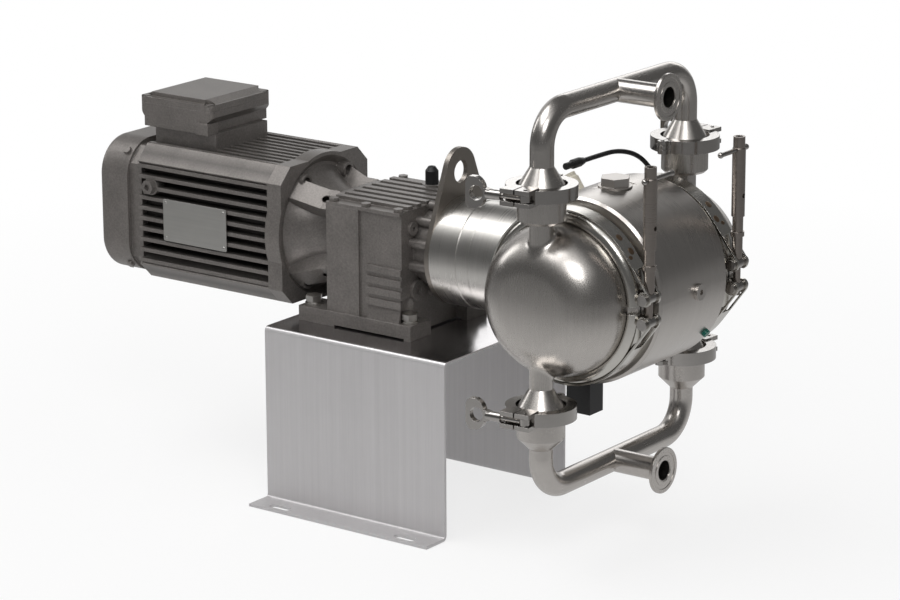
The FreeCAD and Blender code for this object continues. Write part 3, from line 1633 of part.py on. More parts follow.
def pipe_clamp_jaws():
    """Both halves of the four clamps with the hinge pins that join them."""
    height = S["jaw_height"]
    parts = []
    for name, at, hand, turn in clamp_places():
        spin = FreeCAD.Rotation(V(0, 0, 1), turn)
        for near in (True, False):
            parts.append(moved(jaw(hand, near), at, spin))
        pin = cylinder((0, S["jaw_radius"] + 2, -height / 2 - 0.8), "z", HINGE_PIN, height + 1.6)
        parts.append(moved(pin, at, spin))
    return node("pipe_clamp_jaws", together(parts))


NUT_ROOM = 1.0


def nut_start():
    """Distance from the swing pin to the nut's end, which stands just off the near ear."""
    return S["swing_pin"] - EAR_JOINT + EAR_SPLIT / 2 + S["near_ear"] + NUT_ROOM


def swing_bolts():
    """Eye bolts that pivot on a pin in the far ear and lie in the slot of the near one."""
    radius = S["swing_radius"]
    ear = S["jaw_ear"]
    tall = S["ear_height"]
    for name, at, hand, turn in clamp_places():
        pivot = S["swing_pin"] * hand
        axis = "-x" if hand > 0 else "x"
        parts = [
            cylinder((pivot, -ear, -radius - 0.8), "z", radius + 2.4, radius * 2 + 1.6),
            cylinder((pivot, -ear, 0), axis, radius, nut_start() + 17),
            cylinder((pivot, -ear, -tall / 2 - 0.8), "z", PIN_RADIUS - S["fit_gap"], tall + 1.6),
        ]
        spin = FreeCAD.Rotation(V(0, 0, 1), turn)
        node("swing_bolt_" + name, moved(fuse(parts), at, spin))


def wing_nuts():
    """Long nuts with a flat flared head that has an eye through it."""
    ear = S["jaw_ear"]
    stem = S["nut_stem"]
    end = S["nut_length"]
    for name, at, hand, turn in clamp_places():
        way = -hand
        axis = "-x" if hand > 0 else "x"
        start = (S["swing_pin"] - nut_start()) * hand
        head = padded(
            (start, -ear, 0),
            "XZ",
            [
                (end - 28.5, -stem + 0.4),
                (end - 22.0, -stem - 0.8),
                Arc(end - 12.5, -17.0, 14.0),
                (end - 5.0, -17.0),
                Arc(end, -9.0, 12.0),
                (end, 9.0),
                Arc(end - 5.0, 17.0, 12.0),
                (end - 12.5, 17.0),
                Arc(end - 22.0, stem + 0.8, 14.0),
                (end - 28.5, stem - 0.4),
            ],
            7.0,
            holes=[(end - 13.0, 0, S["nut_eye"])],
            turn=FreeCAD.Rotation(V(0, 0, 1), 0 if way > 0 else 180),
        )
        barrel = cylinder((start, -ear, 0), axis, stem, end - 24)
        bore = cylinder((start - 5.0 * way, -ear, 0), axis, S["swing_radius"] + S["fit_gap"], 23.0)
        spin = FreeCAD.Rotation(V(0, 0, 1), turn)
        node("wing_nut_" + name, moved(cut(fuse([barrel, head]), [bore]), at, spin))


# Big band clamps between the housing and the covers
def band_outline(gap):
    """Section of the retainer: a channel whose flanks follow the sloped flange backs."""
    outer = S["band_outer"]
    wall = S["band_wall"]
    land = S["flange_land"] + S["diaphragm_thick"] / 2
    slope = S["flange_slope"]
    rim = S["flange_radius"] + gap
    reach = slope + 0.5
    return [
        (outer, land + 3),
        Arc(outer - reach - 2, land + 3 + reach, reach + 2.5),
        (outer - reach - 4, land + 2 + reach),
        (rim, land + gap * 2),
        (rim, -land - gap * 2),
        (outer - reach - 4, -land - 2 - reach),
        (outer - reach - 2, -land - 3 - reach),
        Arc(outer, -land - 3, reach + 2.5),
    ]


def trunnion_level(which):
    return AXIS + S["trunnion_gap"] / 2 * which


def clamp_band(side):
    """One strap from loop to loop round the barrels, with two retainers welded inside it."""
    y = S["clamp_plane"] * side
    reach = S["trunnion_reach"]
    barrel = S["trunnion_radius"]
    thick = S["strap_thick"]
    strap_in = S["band_outer"]
    strap_out = strap_in + thick
    width = S["strap_width"]
    loop = barrel + thick
    gap = S["trunnion_gap"] / 2
    far = math.hypot(reach.number, gap.number)
    lean = math.acos((strap_out.number - loop.number) / far) + math.atan2(gap.number, reach.number)
    out_x, out_z = math.cos(lean), math.sin(lean)
    ring = turned((PUMP, y, AXIS), "y", band_outline(S["band_gap"]))
    ring = cut(ring, [slab((PUMP, y, AXIS), (300.0, 60.0, 8.0))])
    strap = tube((PUMP, y - width / 2, AXIS), "y", strap_out, strap_in, width)
    window = box((PUMP + 10, y - 30, AXIS - strap_in * out_z), (150.0, 60.0, strap_in * out_z * 2))
    parts = [ring, cut(strap, [window])]
    for which in (-1, 1):
        level = AXIS + gap * which
        flat = padded(
            (PUMP, y, AXIS),
            "XZ",
            [
                ((strap_out - thick) * out_x, (strap_out - thick) * out_z * which),
                (strap_out * out_x, strap_out * out_z * which),
                (reach + loop * out_x, (gap + loop * out_z) * which),
                (reach + barrel * out_x, (gap + barrel * out_z) * which),
            ],
            width,
        )
        eye = tube((PUMP + reach, y - width / 2, level), "y", loop, barrel + 0.05, width)
        eye = cut(eye, [box((PUMP, y - 30, AXIS - gap * 0.45), (150.0, 60.0, gap * 0.9))])
        slot = slab((PUMP + reach, y, level), (30.0, S["spindle_radius"] * 2 + 1, 60.0))
        parts.append(cut(fuse([flat, eye]), [slot]))
    label = "front_clamp_band" if side < 0 else "rear_clamp_band"
    return node(label, fuse(parts))


def clamp_barrels():
    """Barrels in the strap loops; the clamp spindle passes through both of a pair."""
    parts = []
    for side in (-1, 1):
        y = S["clamp_plane"] * side
        width = S["strap_width"] + 8
        for which in (-1, 1):
            level = trunnion_level(which)
            at = (PUMP + S["trunnion_reach"], y - width / 2, level)
            barrel = cylinder(at, "y", S["trunnion_radius"], width)
            hole = cylinder((PUMP + S["trunnion_reach"], y, level - 20), "z", SPINDLE_THREAD + S["fit_gap"].number, 40.0)
            parts.append(cut(barrel, [hole]))
    return node("clamp_barrels", together(parts))


SPINDLE_THREAD = 4.0


def spindles():
    """Clamp spindles with a cross hole for the tommy bar and a second one lower down."""
    top = S["spindle_top"]
    radius = S["spindle_radius"]
    for name, side in (("front", -1), ("rear", 1)):
        y = S["clamp_plane"] * side
        x = PUMP + S["trunnion_reach"]
        low = trunnion_level(-1) - S["trunnion_radius"] - 3
        outline = [
            (0, low),
            (SPINDLE_THREAD, low),
            (SPINDLE_THREAD, trunnion_level(1) + S["trunnion_radius"] + 0.3),
            (radius - 1.6, trunnion_level(1) + S["trunnion_radius"] + 0.3),
            (radius - 1.6, top - 109),
            (radius, top - 109),
            (radius, top - 104),
            (radius - 1.4, top - 104),
            (radius - 1.4, top - 87),
            (radius, top - 87),
            (radius, top - 13),
            (radius - 0.8, top - 12),
            (radius - 0.8, top),
            (0, top),
        ]
        shaft = turned((x, y, 0), "z", outline)
        rod = S["bar_radius"]
        bar = cylinder((x, y - 20, S["bar_height"]), "y", rod + S["fit_gap"], 40.0)
        second = cylinder((x - 20, y, S["bar_height"] - SECOND_HOLE_DROP), "x", rod, 40.0)
        socket = prism((x, y, top - 6), "z", 4.6, 7.0)
        node(name + "_spindle", cut(shaft, [bar, second, socket]))
        knob = rod + BAR_KNOB
        half = S["bar_length"] / 2
        shoulder = half - knob - across(knob, rod)
        ends = [(0, -half), Arc(rod, -shoulder, knob), (rod, shoulder), Arc(0, half, knob)]
        node(name + "_tommy_bar", turned((x, y + BAR_SHIFT[name], S["bar_height"]), "y", ends))


BAR_KNOB = 0.7
BAR_SHIFT = {"front": 14.3, "rear": -11.5}
SECOND_HOLE_DROP = 50.0


# Leak sensor on the housing's upper shoulder, its plug and the lead
SENSOR_TURN = 34.0


def sensor_frame():
    turn = math.radians(SENSOR_TURN)
    reach = S["housing_radius"] - 1
    x = PUMP - reach * math.sin(turn)
    z = AXIS + reach * math.cos(turn)
    return x, z, FreeCAD.Rotation(V(0, 1, 0), -SENSOR_TURN)


def leak_sensor():
    x, z, spin = sensor_frame()
    outline = [(0, -6.0), (7.0, -6.0), (7.0, 0), (9.0, 0), (9.0, 16.0), (7.5, 18.0), (7.5, 22.0), (0, 22.0)]
    body = turned((0, 0, 0), "z", outline)
    return node("leak_sensor", moved(body, (x, SENSOR_Y, z), spin))


SENSOR_Y = 12.0


CONNECTOR = (193.0, 46.0, 403.5)


def sensor_connector():
    """Straight plug on the sensor's head; its axis is the first run of the lead."""
    outline = [(0, 0), (3.6, 0), (4.2, 3.0), (5.2, 8.0), (5.2, 21.0), (3.8, 23.0), (3.8, 34.0), (0, 34.0)]
    x, y, z = CONNECTOR
    return node("sensor_connector", turned((x, y, z), "-y", outline))


# Lead of the leak sensor: points of its route, chosen by hand
LEAD_ROUTE = [
    (193.0, 46.0, 403.5),
    (193.0, 74.0, 403.5),
    (199.0, 104.0, 405.0),
    (208.0, 132.0, 396.0),
    (216.0, 150.0, 374.0),
    (217.0, 160.0, 346.0),
    (205.0, 161.0, 318.0),
    (185.0, 155.0, 294.0),
    (161.0, 145.0, 268.0),
    (138.0, 130.0, 240.0),
    (114.0, 114.0, 217.0),
    (88.0, 103.0, 206.6),
    (58.0, 98.0, 205.0),
    (28.0, 97.0, 205.3),
    (6.0, 103.0, 205.6),
    (-16.0, 125.0, 204.0),
    (-24.0, 122.0, 172.0),
    (-30.0, 124.0, 135.0),
    (-34.0, 126.0, 92.0),
    (-37.0, 129.0, 52.0),
    (-40.0, 138.0, 22.0),
    (-42.0, 156.0, 7.0),
    (-44.0, 174.7, 3.1),
]
LEAD_LENGTH = 2000.0


def lead_path(points):
    """Straight runs joined by the largest tangent arcs that their lengths allow."""
    points = [V(*point) for point in points]
    edges = []
    radii = []
    last = points[0]
    for before, corner, after in zip(points, points[1:], points[2:]):
        inward = (before - corner).normalize()
        outward = (after - corner).normalize()
        shorter = min((before - corner).Length, (after - corner).Length)
        half = (math.pi - inward.getAngle(outward)) / 2
        trim = shorter * 0.45
        radius = trim / math.tan(half)
        radii.append(radius)
        first = corner + inward * trim
        final = corner + outward * trim
        bisector = (inward + outward).normalize()
        middle = corner + bisector * (radius / math.cos(half) - radius)
        edges.append(Part.LineSegment(last, first).toShape())
        edges.append(Part.Arc(first, middle, final).toShape())
        last = final
    edges.append(Part.LineSegment(last, points[-1]).toShape())
    return Part.Wire(edges), radii


def sensor_cable():
    path, radii = lead_path(LEAD_ROUTE)
    start, direction = V(*LEAD_ROUTE[0]), V(*LEAD_ROUTE[1]) - V(*LEAD_ROUTE[0])
    radius = S["lead_radius"].number
    circle = Part.Wire([Part.Circle(start, direction, radius).toShape()])
    obj = doc.addObject("Part::Feature", fresh("Lead"))
    obj.Shape = path.makePipeShell([circle], True, True)
    expected = math.pi * radius * radius * path.Length
    print("lead radii", [round(radius) for radius in radii])
    print("lead length %.0f, volume over section times length %.4f" % (path.Length, obj.Shape.Volume / expected))
    turns = (LEAD_LENGTH - path.Length) / (2 * math.pi * S["coil_radius"].number)
    print("coil turns %.2f" % turns)
    return node("sensor_cable", obj)


def cable_coil():
    """Outer shape of the coiled rest of the lead: four turns below and three on top."""
    lead = S["lead_radius"]
    middle = S["coil_radius"]
    x, y, z = LEAD_ROUTE[-1]
    outline = [
        (middle - lead * 4, lead),
        Arc(middle - lead * 3, 0, lead),
        (middle + lead * 3, 0),
        Arc(middle + lead * 4, lead, lead),
        (middle + lead * 4, lead * 1.6),
        (middle + lead * 3, lead * 3.7),
        (middle - lead * 3, lead * 3.7),
        (middle - lead * 4, lead * 1.6),
    ]
    return node("cable_coil", turned((x, y + 0.3 + middle + lead * 4, 0), "z", outline))


def junction_box():
    """Black block under the housing, behind the front valve."""
    block = slab((PUMP, -(S["housing_half"] - 10), AXIS - S["housing_radius"] - 13), (30.0, 25.0, 40.0))
    return node("junction_box", cut(block, [cylinder((PUMP, -90.0, AXIS), "y", S["housing_radius"], 90.0)]))


def build():
    stand()
    foot_bolts()
    gearbox_housing()
    gearbox_cover()
    breather_cap()
    machine_screws()
    motor_pinion()
    layshaft()
    output_gear()
    output_shaft()
    bearings()
    motor_bell()
    motor_frame()
    stator()
    rotor()
    rear_shield()
    cooling_fan()
    fan_cowl()
    terminal_box()
    terminal_box_lid()
    drain_plugs()
    lifting_plate()
    drive_adapter()
    pump_housing()
    housing_plugs()
    for side in (-1, 1):
        diaphragm(side)
        cover(side)
        clamp_band(side)
    diaphragm_discs()
    shuttle_yoke()
    crank_bearing()
    balls()
    valve_gaskets()
    manifold("discharge_manifold", 1)
    manifold("suction_manifold", -1)
    pipe_clamp_jaws()
    swing_bolts()
    wing_nuts()
    clamp_barrels()
    spindles()
    leak_sensor()
    sensor_connector()
    sensor_cable()
    cable_coil()
    junction_box()


def check_and_write():
    doc.recompute()
    faulty = [obj.Label for obj in doc.Objects if {"Invalid", "Error"} & set(obj.State)]
    if faulty:
        raise RuntimeError("failed objects: " + ", ".join(faulty))
    os.makedirs("parts", exist_ok=True)
    for label, obj in NODES.items():
        shape = obj.Shape
        if shape.isNull() or not shape.isValid() or not shape.Solids:
            raise RuntimeError("bad shape: " + label)
        shape.exportStep("parts/%s.step" % label)
        print(label, len(shape.Solids), round(shape.Volume))


build()
check_and_write()
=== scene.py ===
"""Looks, stage and camera of the electric diaphragm pump, laid out as a Blender add-on."""
import json
import math

import bmesh
import bpy
from mathutils import Matrix, Vector


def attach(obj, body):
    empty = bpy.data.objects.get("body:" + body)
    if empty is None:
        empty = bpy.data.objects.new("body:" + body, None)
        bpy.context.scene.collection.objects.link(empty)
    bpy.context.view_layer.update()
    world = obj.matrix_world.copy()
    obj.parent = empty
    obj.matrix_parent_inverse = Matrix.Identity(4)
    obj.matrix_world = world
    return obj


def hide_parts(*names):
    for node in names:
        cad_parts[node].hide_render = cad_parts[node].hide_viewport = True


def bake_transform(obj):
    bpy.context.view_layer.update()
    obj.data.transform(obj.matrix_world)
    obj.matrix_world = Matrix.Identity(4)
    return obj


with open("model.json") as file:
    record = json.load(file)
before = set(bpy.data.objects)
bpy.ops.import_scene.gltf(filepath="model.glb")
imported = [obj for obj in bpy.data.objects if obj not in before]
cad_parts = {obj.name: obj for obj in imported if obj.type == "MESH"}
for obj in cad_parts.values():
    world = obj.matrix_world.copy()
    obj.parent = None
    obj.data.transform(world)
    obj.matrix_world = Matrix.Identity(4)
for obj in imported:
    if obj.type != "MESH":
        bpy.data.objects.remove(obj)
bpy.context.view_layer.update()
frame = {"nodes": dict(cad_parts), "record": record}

bl_info = {
    "name": "Electric diaphragm pump",
    "version": (1, 0, 0),
    "blender": (4, 5, 0),
    "location": "View3D > Sidebar > Pump",
    "description": "Finishes, lead, plates and stage of an electric diaphragm pump",
    "category": "Object",
}

MM = 0.001
DRIVE_AXIS = Vector((0.0, 0.0, 0.294))
PUMP_CENTRE = Vector((0.265, 0.0, 0.294))
VALVE_OFFSET = 0.1366
GREEN_PLUG = (0.348, 0.050, 0.236)
CAMERA_TARGET = Vector((0.10044, -0.07256, 0.25896))
CAMERA_ROLL = math.radians(-0.22)

# Name, place, size and watts of each softbox, all of which face this spot
LAMP_AIM = Vector((0.05, 0.0, 0.26))
SOFTBOXES = [
    ("key", (1.55, -1.85, 2.35), (1.2, 1.0), 21.0),
    ("top", (-0.75, -0.95, 3.0), (2.6, 1.5), 34.0),
    ("left", (-2.9, -0.3, 1.5), (0.7, 1.3), 7.0),
    ("back", (-0.9, 2.9, 1.6), (2.2, 1.0), 9.0),
]

# Strength of each part of the room that metal mirrors, and of the plain light on the rest
ROOM = {"base": 0.11, "above": 0.72, "backdrop": 0.6, "flank": 0.35, "near_floor": 0.12,
        "window": 0.75, "plain": 0.5}


# Shader maths

class Wire:
    """One output of a node. Expressions on it add Math nodes."""

    def __init__(self, tree, socket):
        self.tree = tree
        self.socket = socket

    def maths(self, operation, first, second=None, clamp=False):
        node = self.tree.nodes.new("ShaderNodeMath")
        node.operation = operation
        node.use_clamp = clamp
        for slot, value in zip(node.inputs, (first, second)):
            if value is None:
                continue
            connect(self.tree, slot, value)
        return Wire(self.tree, node.outputs[0])

    def __add__(self, other):
        return self.maths("ADD", self, other)

    def __radd__(self, other):
        return self.maths("ADD", other, self)

    def __sub__(self, other):
        return self.maths("SUBTRACT", self, other)

    def __rsub__(self, other):
        return self.maths("SUBTRACT", other, self)

    def __mul__(self, other):
        return self.maths("MULTIPLY", self, other)

    def __rmul__(self, other):
        return self.maths("MULTIPLY", other, self)

    def __truediv__(self, other):
        return self.maths("DIVIDE", self, other)

    def __abs__(self):
        return self.maths("ABSOLUTE", self)

    def root(self):
        return self.maths("SQRT", self)

    def larger(self, other):
        return self.maths("MAXIMUM", self, other)

    def held(self):
        return self.maths("ADD", self, 0.0, clamp=True)

    def between(self, low, high):
        """0 below low, 1 above high."""
        return ((self - low) / (high - low)).held()


def connect(tree, slot, value):
    if isinstance(value, Wire):
        tree.links.new(value.socket, slot)
    else:
        slot.default_value = value


class Finish:
    """A material with one shader, whose other nodes are added by calls."""

    def __init__(self, name, shader="ShaderNodeBsdfPrincipled", **constants):
        self.material = bpy.data.materials.new(name)
        self.material.use_nodes = True
        self.tree = self.material.node_tree
        self.tree.nodes.clear()
        self.output = self.tree.nodes.new("ShaderNodeOutputMaterial")
        self.shader = self.tree.nodes.new(shader)
        self.tree.links.new(self.shader.outputs[0], self.output.inputs["Surface"])
        self.set(**constants)

    def set(self, **sockets):
        for name, value in sockets.items():
            slot = self.shader.inputs[name.replace("_", " ")]
            if not isinstance(value, Wire) and hasattr(value, "__len__") and len(value) == 3:
                value = (*value, 1.0) if slot.type == "RGBA" else value
            connect(self.tree, slot, value)
        return self

    def add(self, kind, settings=None, sockets=None, out=0):
        node = self.tree.nodes.new(kind)
        for key, value in (settings or {}).items():
            setattr(node, key, value)
        for key, value in (sockets or {}).items():
            slot = node.inputs[key]
            if not isinstance(value, Wire) and slot.type == "RGBA" and len(value) == 3:
                value = (*value, 1.0)
            connect(self.tree, slot, value)
        return Wire(self.tree, node.outputs[out])

    def coordinates(self, centre=(0, 0, 0), scale=(1, 1, 1)):
        """Object coordinates about a centre, scaled."""
        place = self.add("ShaderNodeTexCoord", out="Object")
        moved = self.add("ShaderNodeVectorMath", {"operation": "SUBTRACT"},
                         {0: place, 1: tuple(centre)})
        return self.add("ShaderNodeMapping", {"vector_type": "POINT"},
                        {"Vector": moved, "Scale": tuple(scale)})

    def noise(self, vector, scale, detail=2.0, rough=0.5):
        return self.add("ShaderNodeTexNoise", {"noise_dimensions": "3D"},
                        {"Vector": vector, "Scale": scale, "Detail": detail, "Roughness": rough})

    def parts_of(self, vector):
        node = self.tree.nodes.new("ShaderNodeSeparateXYZ")
        connect(self.tree, node.inputs[0], vector)
        return [Wire(self.tree, output) for output in node.outputs]

    def vector(self, x, y, z):
        return self.add("ShaderNodeCombineXYZ", None, {0: x, 1: y, 2: z})

    def mix(self, share, first, second):
        node = self.tree.nodes.new("ShaderNodeMix")
        node.data_type = "RGBA"
        connect(self.tree, node.inputs[0], share)
        for index, value in ((6, first), (7, second)):
            if not isinstance(value, Wire):
                value = (*value, 1.0)
            connect(self.tree, node.inputs[index], value)
        return Wire(self.tree, node.outputs[2])

    def bump(self, height, depth, strength=1.0, normal=None):
        sockets = {"Height": height, "Distance": depth, "Strength": strength}
        if normal is not None:
            sockets["Normal"] = normal
        return self.add("ShaderNodeBump", None, sockets)

    def soft_edges(self, radius):
        """Normal that rounds sharp edges."""
        return self.add("ShaderNodeBevel", {"samples": 4}, {"Radius": radius})


def cast_paint(name, colour, centre, gaps=None):
    """Metallic grey paint on castings, with the fine pebbled skin of a sand casting.

    gaps gives the depths from the drive axis between which the fins' gaps darken with painted
    shade.
    """
    finish = Finish(name, Metallic=0.5, Specular_IOR_Level=0.6)
    place = finish.coordinates(centre)
    pebbles = finish.noise(place, 420.0, 3.0, 0.55)
    broad = finish.noise(place, 28.0, 3.0, 0.6)
    flakes = finish.noise(place, 1500.0, 1.0, 0.5)
    light = tuple(min(1.0, c * 1.35) for c in colour)
    dark = tuple(c * 0.72 for c in colour)
    tone = (pebbles * 0.45 + broad * 0.35 + flakes * 0.3).between(0.36, 0.74)
    shade = finish.mix(tone, dark, light)
    if gaps:
        # Painted shade: the colour darkens deep between the fins, below the fins' tips
        x, y, z = finish.parts_of(place)
        depth = abs(y).larger(abs(z)).between(*gaps)
        shade = finish.mix(depth, tuple(c * 0.22 for c in colour), shade)
    finish.set(Base_Color=shade)
    finish.set(Roughness=0.27 + 0.14 * pebbles + 0.06 * broad)
    edges = finish.soft_edges(0.0011)
    finish.set(Normal=finish.bump(pebbles * 0.75 + flakes * 0.25, 0.00022, 0.55, edges))
    return finish.material


def brushed(name, colour, centre, grain, rough=(0.22, 0.36), depth=0.00003, edge=0.0006,
            marks=0.5, metallic=1.0, mirror_from=None):
    """Brushed stainless steel. grain names the way that the lines run.

    mirror_from gives the height above which the sheet is polished.
    """
    finish = Finish(name, Metallic=metallic, Specular_IOR_Level=0.5)
    place = finish.coordinates(centre)
    x, y, z = finish.parts_of(place)
    if grain == "round_y":
        across = (x * x + z * z).root()
        lines = finish.vector(across * 1500.0, y * 1500.0, 0.0)
    elif grain == "round_x":
        lines = finish.vector(x * 1500.0, (y * y + z * z).root() * 1500.0, 0.0)
    elif grain == "round_z":
        lines = finish.vector((x * x + y * y).root() * 1500.0, z * 1500.0, 0.0)
    elif grain == "along_x":
        lines = finish.vector(x * 14.0, y * 1600.0, z * 1600.0)
    elif grain == "along_y":
        lines = finish.vector(x * 1600.0, y * 14.0, z * 1600.0)
    elif grain == "along_z":
        lines = finish.vector(x * 1600.0, y * 1600.0, z * 14.0)
    else:
        lines = finish.vector(x * 600.0, y * 600.0, z * 600.0)
    fine = finish.noise(lines, 1.0, 3.0, 0.65)
    coarse = finish.noise(lines, 0.16, 2.0, 0.5)
    blotch = finish.noise(place, 16.0, 3.0, 0.6)
    smear = finish.noise(place, 70.0, 2.0, 0.5)
    low, high = rough
    tone = (fine * 0.4 + coarse * 0.25 + blotch * 0.35 * marks + smear * 0.2 * marks)
    dark = tuple(c * 0.86 for c in colour)
    light = tuple(min(1.0, c * 1.08) for c in colour)
    finish.set(Base_Color=finish.mix(tone.between(0.25, 0.75), dark, light))
    spread = (fine * 0.5 + blotch * 0.35 + smear * 0.15).between(0.3, 0.7)
    worn = low + (high - low) * spread
    if mirror_from:
        level = z.between(mirror_from, mirror_from + 0.003)
        worn = worn * (1.0 - level) + (0.15 + 0.1 * spread) * level
        finish.set(Metallic=metallic + (1.0 - metallic) * level)
    finish.set(Roughness=worn)
    height = fine * 0.6 + coarse * 0.4
    normal = finish.soft_edges(edge) if edge else None
    finish.set(Normal=finish.bump(height, depth, 0.6, normal))
    return finish.material


def polished(name, colour, centre, rough=(0.12, 0.24)):
    """Investment cast and polished stainless, with faint waves and handling marks."""
    finish = Finish(name, Metallic=1.0)
    place = finish.coordinates(centre)
    waves = finish.noise(place, 130.0, 2.0, 0.5)
    marks = finish.noise(place, 900.0, 3.0, 0.6)
    low, high = rough
    finish.set(Base_Color=finish.mix(waves, tuple(c * 0.9 for c in colour), colour))
    finish.set(Roughness=low + (high - low) * marks.between(0.3, 0.75))
    finish.set(Normal=finish.bump(waves * 0.6 + marks * 0.2, 0.00012, 0.5,
                                  finish.soft_edges(0.0006)))
    return finish.material


def machined(name, colour, rough=(0.26, 0.42)):
    """Plain machined or plated metal of bolts, gears and shafts."""
    finish = Finish(name, Metallic=1.0)
    place = finish.coordinates()
    fine = finish.noise(place, 700.0, 3.0, 0.6)
    broad = finish.noise(place, 60.0, 2.0, 0.5)
    low, high = rough
    finish.set(Base_Color=finish.mix(broad, tuple(c * 0.8 for c in colour), colour))
    finish.set(Roughness=low + (high - low) * fine)
    finish.set(Normal=finish.bump(fine, 0.00004, 0.5, finish.soft_edges(0.0004)))
    return finish.material


def moulded(name, colour, rough=(0.35, 0.5), grain=900.0, depth=0.00006):
    """Moulded plastic or rubber with its fine spark-eroded grain."""
    finish = Finish(name, Specular_IOR_Level=0.4)
    place = finish.coordinates()
    skin = finish.noise(place, grain, 2.0, 0.5)
    broad = finish.noise(place, 45.0, 3.0, 0.6)
    light = tuple(min(1.0, c * 1.25 + 0.004) for c in colour)
    dark = tuple(c * 0.8 for c in colour)
    low, high = rough
    finish.set(Base_Color=finish.mix(broad, dark, light))
    finish.set(Roughness=low + (high - low) * (skin * 0.6 + broad * 0.4))
    finish.set(Normal=finish.bump(skin, depth, 0.5, finish.soft_edges(0.0005)))
    return finish.material


def stoppers(name, colour):
    """Steel plugs, of which the small one near the rear is green plastic."""
    finish = Finish(name, Specular_IOR_Level=0.5)
    fine = finish.noise(finish.coordinates(), 500.0, 3.0, 0.6)
    x, y, z = finish.parts_of(finish.coordinates(GREEN_PLUG))
    steel = (x * x + y * y + z * z).root().between(0.0125, 0.013)
    bare = finish.mix(fine, tuple(c * 0.85 for c in colour), colour)
    green = finish.mix(fine, (0.0, 0.07, 0.05), (0.01, 0.16, 0.12))
    finish.set(Base_Color=finish.mix(steel, green, bare), Metallic=steel)
    finish.set(Roughness=0.26 + 0.14 * fine)
    finish.set(Normal=finish.bump(fine, 0.00003, 0.5, finish.soft_edges(0.0005)))
    return finish.material


# Mesh helpers

def keep(name, mesh, body, material):
    """A finished mesh as a piece that rides on a body."""
    piece = bpy.data.objects.new(name, mesh)
    bpy.context.scene.collection.objects.link(piece)
    mesh.materials.clear()
    mesh.materials.append(material)
    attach(piece, body)
    return piece


def mesh_from(name, build):
    """A mesh made by build(bm)."""
    bm = bmesh.new()
    build(bm)
    bmesh.ops.remove_doubles(bm, verts=bm.verts, dist=1e-6)
    bmesh.ops.recalc_face_normals(bm, faces=bm.faces)
    mesh = bpy.data.meshes.new(name)
    bm.to_mesh(mesh)
    bm.free()
    return mesh


def smooth(mesh, angle=35.0):
    mesh.polygons.foreach_set("use_smooth", [True] * len(mesh.polygons))
    mesh.set_sharp_from_angle(angle=math.radians(angle))
    return mesh


def revolve(bm, outline, at, along, segments=32):
    """A ring of faces from (radius, height) points about an axis through at."""
    turn = Vector((0, 0, 1)).rotation_difference(Vector(along)).to_matrix()
    rings = []
    for radius, height in outline:
        if radius < 1e-9:
            rings.append([bm.verts.new(Vector(at) + turn @ Vector((0, 0, height)))])
            continue
        ring = []
        for index in range(segments):
            angle = 2 * math.pi * index / segments
            spot = Vector((radius * math.cos(angle), radius * math.sin(angle), height))
            ring.append(bm.verts.new(Vector(at) + turn @ spot))
        rings.append(ring)
    for lower, upper in zip(rings, rings[1:]):
        for index in range(segments):
            after = (index + 1) % segments
            corners = [lower[index % len(lower)], lower[after % len(lower)],
                       upper[after % len(upper)], upper[index % len(upper)]]
            distinct = list(dict.fromkeys(corners))
            if len(distinct) > 2:
                bm.faces.new(distinct)


def plain_copy(obj):
    """The evaluated object's mesh, with its modifiers in it."""
    bpy.context.view_layer.update()
    graph = bpy.context.evaluated_depsgraph_get()
    return bpy.data.meshes.new_from_object(obj.evaluated_get(graph))


def domes_tree():
    """Node tree that puts a low dome on every point, its top along the point's direction."""
    tree = bpy.data.node_groups.new("domes_on_points", "GeometryNodeTree")
    for label, kind in (("Points", "Geometry"), ("Radius", "Float"), ("Height", "Float"),
                        ("Segments", "Int"), ("Finish", "Material")):
        tree.interface.new_socket(label, in_out="INPUT", socket_type="NodeSocket" + kind)
    tree.interface.new_socket("Geometry", in_out="OUTPUT", socket_type="NodeSocketGeometry")

    def node(kind, links, **own):
        made = tree.nodes.new(kind)
        for key, value in own.items():
            setattr(made, key, value)
        for key, value in links.items():
            if isinstance(value, bpy.types.NodeSocket):
                tree.links.new(value, made.inputs[key])
            else:
                made.inputs[key].default_value = value
        return made

    given = tree.nodes.new("NodeGroupInput").outputs
    sphere = node("GeometryNodeMeshUVSphere", {"Segments": given["Segments"], "Rings": 10,
                                               "Radius": 1.0})
    size = node("ShaderNodeCombineXYZ", {"X": given["Radius"], "Y": given["Radius"],
                                         "Z": given["Height"]})
    dome = node("GeometryNodeTransform", {"Geometry": sphere.outputs["Mesh"],
                                          "Scale": size.outputs[0]})
    way = node("GeometryNodeInputNamedAttribute", {"Name": "out"}, data_type="FLOAT_VECTOR")
    turn = node("FunctionNodeAlignRotationToVector", {"Vector": way.outputs["Attribute"]},
                axis="Z")
    placed = node("GeometryNodeInstanceOnPoints", {
        "Points": given["Points"], "Instance": dome.outputs["Geometry"],
        "Rotation": turn.outputs["Rotation"]})
    whole = node("GeometryNodeRealizeInstances", {"Geometry": placed.outputs["Instances"]})
    coated = node("GeometryNodeSetMaterial", {"Geometry": whole.outputs["Geometry"],
                                              "Material": given["Finish"]})
    node("NodeGroupOutput", {"Geometry": coated.outputs["Geometry"]})
    return tree


